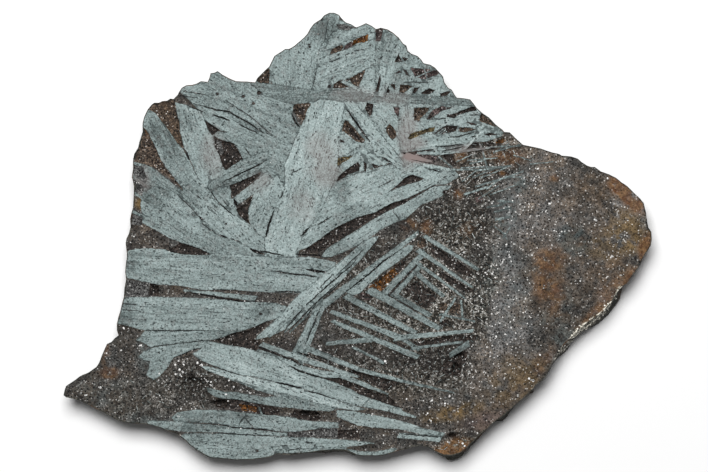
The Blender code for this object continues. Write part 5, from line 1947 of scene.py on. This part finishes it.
@dataclass
class Slab:
    """The slab itself: polished face, broken rim and sawn back as one closed piece."""

    frame: Frame
    streams: int = 97
    stream_step: float = 3.7
    crust_start: Point = (47.5, -28.0)
    crust_end: Point = (64.0, -12.0)
    rim: BrokenRim = field(init=False)
    face: PolishedFace = field(init=False)
    piece: bpy.types.Object = field(init=False)

    def build(self) -> None:
        """Makes the rim and the face and joins them along their common edge."""
        self.rim = BrokenRim(self.frame)
        self.rim.build()
        middle = self.rim.face_middle
        shift = (middle[0] - PATTERN_MIDDLE[0], middle[1] - PATTERN_MIDDLE[1])
        outline = self.rim.places[self.rim.loop]
        self.face = PolishedFace(
            outline[:, :2], self.frame.high.z, shift, self.rim.hollows, pattern()
        )
        self.face.build()
        self._join()

    def _join(self) -> None:
        """Makes one mesh of the rim and the face."""
        rim, face = self.rim, self.face
        numbers = np.zeros(len(face.places), int)
        loose = face.rim_index < 0
        numbers[~loose] = np.array(rim.loop)[face.rim_index[~loose]]
        numbers[loose] = len(rim.places) + np.arange(loose.sum())
        places = np.concatenate([rim.places, face.places[loose]])
        faces = np.concatenate([rim.faces, numbers[face.faces]])
        mesh = bpy.data.meshes.new("rock_slab")
        mesh.from_pydata((places * MM).tolist(), [], faces.tolist())
        self.piece = shown("rock_slab", mesh)
        self._note_corners(mesh)
        self._note_points(mesh, loose)
        self._shade(mesh)

    def _note_corners(self, mesh: bpy.types.Mesh) -> None:
        """Writes what changes sharply from one triangle to the next.

        Args:
            mesh: The joined mesh.
        """
        walls = len(self.rim.faces)
        labels, shapes = self.face.labels, self.face.shapes
        fills = [Fill.GROUND] + [shape.fill for shape in shapes]
        turns = np.radians([0.0] + [shape.turn for shape in shapes])
        tones = np.array([0.0] + [shape.tone for shape in shapes])
        corners = self.face.places[self.face.faces][:, :, :2]
        turn = turns[labels + 1][:, None]
        along = corners[:, :, 0] * np.cos(turn) + corners[:, :, 1] * np.sin(turn)
        across = corners[:, :, 1] * np.cos(turn) - corners[:, :, 0] * np.sin(turn)
        grain = np.zeros((walls + len(labels), 3, 3))
        grain[walls:, :, 0] = along
        grain[walls:, :, 1] = across
        grain[walls:, :, 2] = (labels[:, None] % self.streams) * self.stream_step
        is_blade = np.array([fill is Fill.BLADE for fill in fills], float)[labels + 1]
        colours = np.array([
            [*linear(BEDS[fill].colour)[:3], float(fill not in (Fill.GROUND, Fill.BLADE))]
            for fill in fills
        ])
        bed = np.zeros((walls + len(labels), 4))
        bed[walls:] = colours[labels + 1]
        broken = self.face.rim_broken()
        side = np.concatenate([self.rim.sides, np.where(broken, Side.BROKEN.value, Side.POLISHED.value)])
        padded = {
            "blade": np.concatenate([np.zeros(walls), is_blade]),
            "tone": np.concatenate([np.zeros(walls), tones[labels + 1]]),
            "side": side,
        }
        for name, values in padded.items():
            note(mesh, name, np.repeat(values, 3), "CORNER")
        note(mesh, "grain", grain, "CORNER")
        note(mesh, "bed", np.repeat(bed, 3, axis=0), "CORNER")

    def _note_points(self, mesh: bpy.types.Mesh, loose: np.ndarray) -> None:
        """Writes what changes smoothly over the rock.

        Args:
            mesh: The joined mesh.
            loose: Which points of the face aren't on the rim.
        """
        walls = len(self.rim.places)
        tints = self.face.tints()
        count = walls + int(loose.sum())
        on_rim = self.face.rim_index >= 0
        rim_numbers = np.array(self.rim.loop)[self.face.rim_index[on_rim]]
        for name, values in [("edge", self.face.edge), *((m.value, v) for m, v in tints.items())]:
            full = np.zeros(count)
            full[walls:] = values[loose]
            full[rim_numbers] = values[on_rim]
            if name == Mark.CRUST.value:
                full[:walls] = self.crusted(self.rim.places)
                full[walls:] = self.crust_on_face()[loose]
            note(mesh, name, full)

    def crusted(self, places: np.ndarray) -> np.ndarray:
        """How much pale crust lies on each point of the wall: along its south-east side.

        Args:
            places: The points.

        Returns:
            One strength a point.
        """
        start, end = np.array(self.crust_start), np.array(self.crust_end)
        reach = end - start
        t = np.clip(((places[:, :2] - start) @ reach) / (reach @ reach), -0.3, 1.3)
        away = np.linalg.norm(places[:, :2] - start - t[:, None] * reach, axis=1)
        ends = np.clip(1.7 - np.abs(t - 0.5) * 2.7, 0.0, 1.0)
        high = np.clip((places[:, 2] - self.frame.high.z) / 4.0 + 1.05, 0.0, 1.0)
        return np.clip(1.6 - away / 2.2, 0.0, 1.0) * ends * high

    def crust_on_face(self) -> np.ndarray:
        """How much of the crust reaches over the upper edge, at each point of the face."""
        near = 1.2 - self.face.rim_distance(self.face.places[:, :2]) / 0.6
        return self.crusted(self.face.places) * np.clip(near, 0.0, 1.0)

    def _shade(self, mesh: bpy.types.Mesh) -> None:
        """Shades every face flat: the rock is broken, ground and cut, nowhere rounded."""
        mesh.polygons.foreach_set("use_smooth", np.zeros(len(mesh.polygons), bool))
        mesh.update()

    def dress(self) -> None:
        """Gives the slab its finish and its place in the frame."""
        self.piece.data.materials.append(RockFinish().material())
        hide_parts(NODE)
        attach(self.piece, BODY)
        LOG.info("%s: %d triangles", self.piece.name, len(self.piece.data.polygons))


class GrainTree:
    """The Geometry Nodes tree that scatters the grains over the ground."""

    def __init__(self) -> None:
        """Makes the tree, its named inputs and the ball that every grain is cut from."""
        self.tree = bpy.data.node_groups.new("grains", "GeometryNodeTree")
        inputs = {"Geometry": "Geometry"}
        for name in ("Spacing", "Density", "Smallest", "Largest", "Crystal", "Strand", "Sliver"):
            inputs[name] = "Float"
        inputs |= {"Seed": "Int", "Finish": "Material"}
        for name, kind in inputs.items():
            self.tree.interface.new_socket(name, in_out="INPUT", socket_type="NodeSocket" + kind)
        self.tree.interface.new_socket(
            "Geometry", in_out="OUTPUT", socket_type="NodeSocketGeometry"
        )
        self.sizes = self.add("NodeGroupInput")
        self.ball = self.add("GeometryNodeMeshIcoSphere", Radius=1.0, Subdivisions=1)["Mesh"]

    def add(self, kind: str, settings: dict[str, Any] | None = None, **links: Any) -> Any:
        """Adds a node and fills its sockets.

        Args:
            kind: The node's type.
            settings: The node's own properties.
            links: What goes into each socket, by name, or by number after an underscore. A
                list of sockets goes into one socket, in that order.

        Returns:
            The node's outputs.
        """
        made = self.tree.nodes.new(kind)
        for key, value in (settings or {}).items():
            setattr(made, key, value)
        for key, value in links.items():
            if key[1:].isdigit():
                socket = made.inputs[int(key[1:])]
            else:
                name = key.replace("_", " ")
                socket = next(s for s in made.inputs if s.name == name and s.enabled)
            for source in value if isinstance(value, list) else [value]:
                if isinstance(source, bpy.types.NodeSocket):
                    self.tree.links.new(source, socket)
                else:
                    socket.default_value = source
        return made.outputs

    def attribute(self, name: str) -> bpy.types.NodeSocket:
        """A number that the ground's mesh holds for each point."""
        kind = "GeometryNodeInputNamedAttribute"
        return self.add(kind, {"data_type": "FLOAT"}, Name=name)["Attribute"]

    def drawn(self, least: Any, most: Any, seed: int) -> bpy.types.NodeSocket:
        """A number, or where a tuple is given a vector, drawn at random between two others.

        Args:
            least: The lower bound.
            most: The upper bound.
            seed: What the draw starts from.

        Returns:
            The drawn value.
        """
        kind = "FLOAT_VECTOR" if isinstance(least, tuple) else "FLOAT"
        made = self.add("FunctionNodeRandomValue", {"data_type": kind}, Min=least, Max=most, Seed=seed)
        return made[0 if kind == "FLOAT_VECTOR" else 1]

    def sown(self, spacing: str, density: str) -> bpy.types.NodeSocket:
        """Points on the ground, at the spacing of an input and as dense as an attribute says.

        Args:
            spacing: The input with the least distance.
            density: The attribute.

        Returns:
            The points.
        """
        return self.add(
            "GeometryNodeDistributePointsOnFaces", {"distribute_method": "POISSON"},
            Mesh=self.sizes["Geometry"], Distance_Min=self.sizes[spacing],
            Density_Max=self.sizes["Density"], Density_Factor=self.attribute(density),
            Seed=self.sizes["Seed"],
        )["Points"]

    def strewn(
        self, places: bpy.types.NodeSocket, least: str, most: str, glints: Point, seed: int,
        slim: bool = False,
    ) -> bpy.types.NodeSocket:
        """Stands a turned, uneven grain on each point and notes its glint.

        Args:
            places: The points.
            least: The input with the smallest size.
            most: The input with the largest size.
            glints: The range that the glint is drawn from.
            seed: What the draws start from.
            slim: Whether the grains are flat slivers.

        Returns:
            The grains, still as instances.
        """
        tilt = 0.0 if slim else math.tau
        turn = self.drawn((0.0, 0.0, 0.0), (tilt, tilt, math.tau), seed)
        size = self.drawn(self.sizes[least], self.sizes[most], seed + 5)
        lower = (0.5, 0.09, 0.2) if slim else (0.6, 0.6, 0.6)
        upper = (1.4, 0.16, 0.3) if slim else (1.2, 1.2, 1.2)
        shape = self.drawn(lower, upper, seed + 10)
        scale = self.add("ShaderNodeVectorMath", {"operation": "SCALE"}, _0=shape, Scale=size)[0]
        placed = self.add(
            "GeometryNodeInstanceOnPoints", Points=places, Instance=self.ball, Rotation=turn,
            Scale=scale,
        )
        return self.add(
            "GeometryNodeStoreNamedAttribute", {"data_type": "FLOAT", "domain": "INSTANCE"},
            Geometry=placed["Instances"], Name="glint", Value=self.drawn(*glints, seed + 18),
        )["Geometry"]

    def finished(self) -> bpy.types.NodeTree:
        """Strews the ground, the chosen places, the coarse ground and the crust, in this order.

        Returns:
            The tree.
        """
        spots = self.add(
            "GeometryNodeMeshToPoints", Mesh=self.sizes["Geometry"],
            Selection=self.attribute("crystal"),
        )["Points"]
        heaps = [
            self.strewn(self.sown("Spacing", "open"), "Smallest", "Largest", (0.0, 1.0), 3),
            self.strewn(spots, "Smallest", "Crystal", (0.97, 1.0), 40),
            self.strewn(self.sown("Strand", "coarse"), "Sliver", "Sliver", (2.0, 3.0), 70, True),
            self.strewn(self.sown("Largest", "crust"), "Smallest", "Largest", (4.0, 5.0), 90),
        ]
        joined = self.add("GeometryNodeJoinGeometry", Geometry=heaps)
        real = self.add("GeometryNodeRealizeInstances", Geometry=joined["Geometry"])
        done = self.add(
            "GeometryNodeSetMaterial", Geometry=real["Geometry"], Material=self.sizes["Finish"]
        )
        self.add("NodeGroupOutput", Geometry=done["Geometry"])
        return self.tree


@dataclass
class Grains:
    """The crystals of quartz and ore that stand in the ground, scattered by Geometry Nodes."""

    slab: Slab
    spacing: float = 0.62
    smallest: float = 0.10
    largest: float = 0.30
    sink: float = 0.05
    crystal_sink: float = 0.12
    crystal: float = 0.33
    spread: float = 0.32
    strand: float = 1.25
    sliver: float = 0.75
    density: float = 4e6
    lowered: float = 0.03
    seed: int = 5
    piece: bpy.types.Object = field(init=False)

    def _host(self) -> bpy.types.Object:
        """A copy of the ground and the hollows' floors, for the grains to stand on.

        Returns:
            The copy, with the tints as its attributes.
        """
        face = self.slab.face
        fills = np.array([
            (Fill.GROUND if n < 0 else face.shapes[n].fill) is not Fill.BLADE
            for n in range(-1, len(face.shapes))
        ])[face.labels + 1]
        low = face.places[:, 2][face.faces].max(axis=1) < face.top - self.lowered
        kept = face.faces[fills & low]
        used, renumbered = np.unique(kept, return_inverse=True)
        dice = random.Random(self.seed)
        crystals = np.array([
            (
                x + face.shift[0] + dice.gauss(0.0, self.spread),
                y + face.shift[1] + dice.gauss(0.0, self.spread), face.top - self.crystal_sink,
            )
            for x, y in paired(SPARKLES) for _ in range(dice.choice((2, 3, 5)))
        ])
        rim = self.slab.rim
        crusted = self.slab.crusted(rim.places)
        wall = rim.faces[crusted[rim.faces].min(axis=1) > 0.05] + len(used)
        places = np.concatenate([face.places[used] - (0.0, 0.0, self.sink), rim.places, crystals])
        corners = np.concatenate([renumbered.reshape(-1, 3), wall])
        mesh = bpy.data.meshes.new("grain_host")
        mesh.from_pydata((places * MM).tolist(), [], corners.tolist())
        tints = face.tints()
        tints_of = {mark.value: strength[used] for mark, strength in tints.items()}
        tints_of["open"] = 1.0 - 0.8 * np.clip(tints[Mark.RUST][used], 0.0, 1.0)
        tints_of["crystal"] = np.zeros(len(used))
        tints_of[Mark.CRUST.value] = self.slab.crust_on_face()[used]
        for name, strength in tints_of.items():
            middle = crusted if name == Mark.CRUST.value else np.zeros(len(rim.places))
            padding = np.full(len(crystals), float(name == "crystal"))
            note(mesh, name, np.concatenate([strength, middle, padding]))
        return shown("grain_host", mesh)

    def build(self) -> None:
        """Scatters the grains and makes a plain mesh of them."""
        material = GrainFinish().material()
        tree = GrainTree().finished()
        host = self._host()
        modifier = host.modifiers.new("grains", "NODES")
        modifier.node_group = tree
        sizes = {
            "Spacing": self.spacing * MM, "Density": self.density, "Smallest": self.smallest * MM,
            "Largest": self.largest * MM, "Crystal": self.crystal * MM,
            "Strand": self.strand * MM, "Sliver": self.sliver * MM, "Seed": self.seed,
            "Finish": material,
        }
        for item in tree.interface.items_tree:
            if item.item_type == "SOCKET" and item.name in sizes:
                modifier[item.identifier] = sizes[item.name]
        graph = bpy.context.evaluated_depsgraph_get()
        mesh = bpy.data.meshes.new_from_object(host.evaluated_get(graph))
        host.modifiers.remove(modifier)
        bpy.data.objects.remove(host)
        self._grind(mesh)
        mesh.name = "quartz_grains"
        self.piece = shown("quartz_grains", mesh)

    def _grind(self, mesh: bpy.types.Mesh) -> None:
        """Cuts the tops of the grains off flush with the polish.

        Args:
            mesh: The grains, which are changed in place.
        """
        places = np.zeros(len(mesh.vertices) * 3, np.float32)
        mesh.vertices.foreach_get("co", places)
        places = places.reshape(-1, 3)
        top = self.slab.frame.high.z * MM
        places[:, 2] = np.minimum(places[:, 2], top)
        mesh.vertices.foreach_set("co", places.ravel())
        mesh.update()

    def dress(self) -> None:
        """Gives the grains their place in the frame."""
        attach(self.piece, BODY)
        LOG.info("%s: %d triangles", self.piece.name, len(self.piece.data.polygons))


@dataclass
class Studio:
    """A plain pale floor, soft light and a camera straight above the polished face."""

    frame: Frame
    shift: Point
    camera_height: float = 0.9
    sensor: float = 36.0
    floor_half: float = 2.5
    sky: float = 0.11

    def build(self) -> None:
        """Makes the floor, the lights and the camera."""
        self._floor()
        self._sky()
        self._lamp("key", (-0.12, 0.54, 1.07), 0.70, 19.0)
        self._camera()

    def _floor(self) -> None:
        """A wide pale floor under the slab."""
        mesh = bpy.data.meshes.new("floor")
        half = self.floor_half
        mesh.from_pydata(
            [(-half, -half, -1e-4), (half, -half, -1e-4), (half, half, -1e-4), (-half, half, -1e-4)],
            [], [(0, 1, 2, 3)],
        )
        floor = shown("floor", mesh)
        graph = Graph("pale_floor")
        mesh.materials.append(graph.finish({
            "Base Color": linear("#f4f4f4"), "Roughness": 0.9, "Specular IOR Level": 0.0,
        }))

    def _sky(self) -> None:
        """Even white light from all round."""
        world = bpy.data.worlds.new("studio")
        world.use_nodes = True
        background = world.node_tree.nodes["Background"]
        background.inputs["Color"].default_value = (1.0, 1.0, 1.0, 1.0)
        background.inputs["Strength"].default_value = self.sky
        bpy.context.scene.world = world
        bpy.context.scene.view_settings.view_transform = "Standard"

    def _lamp(self, name: str, place: tuple[float, float, float], size: float, power: float) -> None:
        """A large soft lamp that points at the slab.

        Args:
            name: Its name.
            place: Where it is, in metres.
            size: Its side, in metres.
            power: Its power, in watts.
        """
        light = bpy.data.lights.new(name, "AREA")
        light.size = size
        light.energy = power
        lamp = shown(name, light)
        lamp.location = place
        lamp.rotation_euler = (-Vector(place)).to_track_quat("-Z", "Y").to_euler()

    def _camera(self) -> None:
        """A long lens, straight above."""
        top = self.frame.high.z * MM
        data = bpy.data.cameras.new("camera")
        data.sensor_width = self.sensor
        data.lens = self.sensor * self.camera_height / (IMAGE_WIDTH * IMAGE_SCALE * MM)
        camera = shown("camera", data)
        camera.location = (
            (IMAGE_MIDDLE[0] + self.shift[0]) * MM, (IMAGE_MIDDLE[1] + self.shift[1]) * MM,
            top + self.camera_height,
        )
        bpy.context.scene.camera = camera


def main() -> None:
    """Builds the slab, its grains and the studio, in that order."""
    logging.basicConfig(level=logging.INFO, format="%(name)s: %(message)s")
    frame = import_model()
    packed = Frame(frame["nodes"][NODE])
    slab = Slab(packed)
    slab.build()
    slab.dress()
    grains = Grains(slab)
    grains.build()
    grains.dress()
    Studio(packed, slab.face.shift).build()


if __name__ == "__main__":
    main()
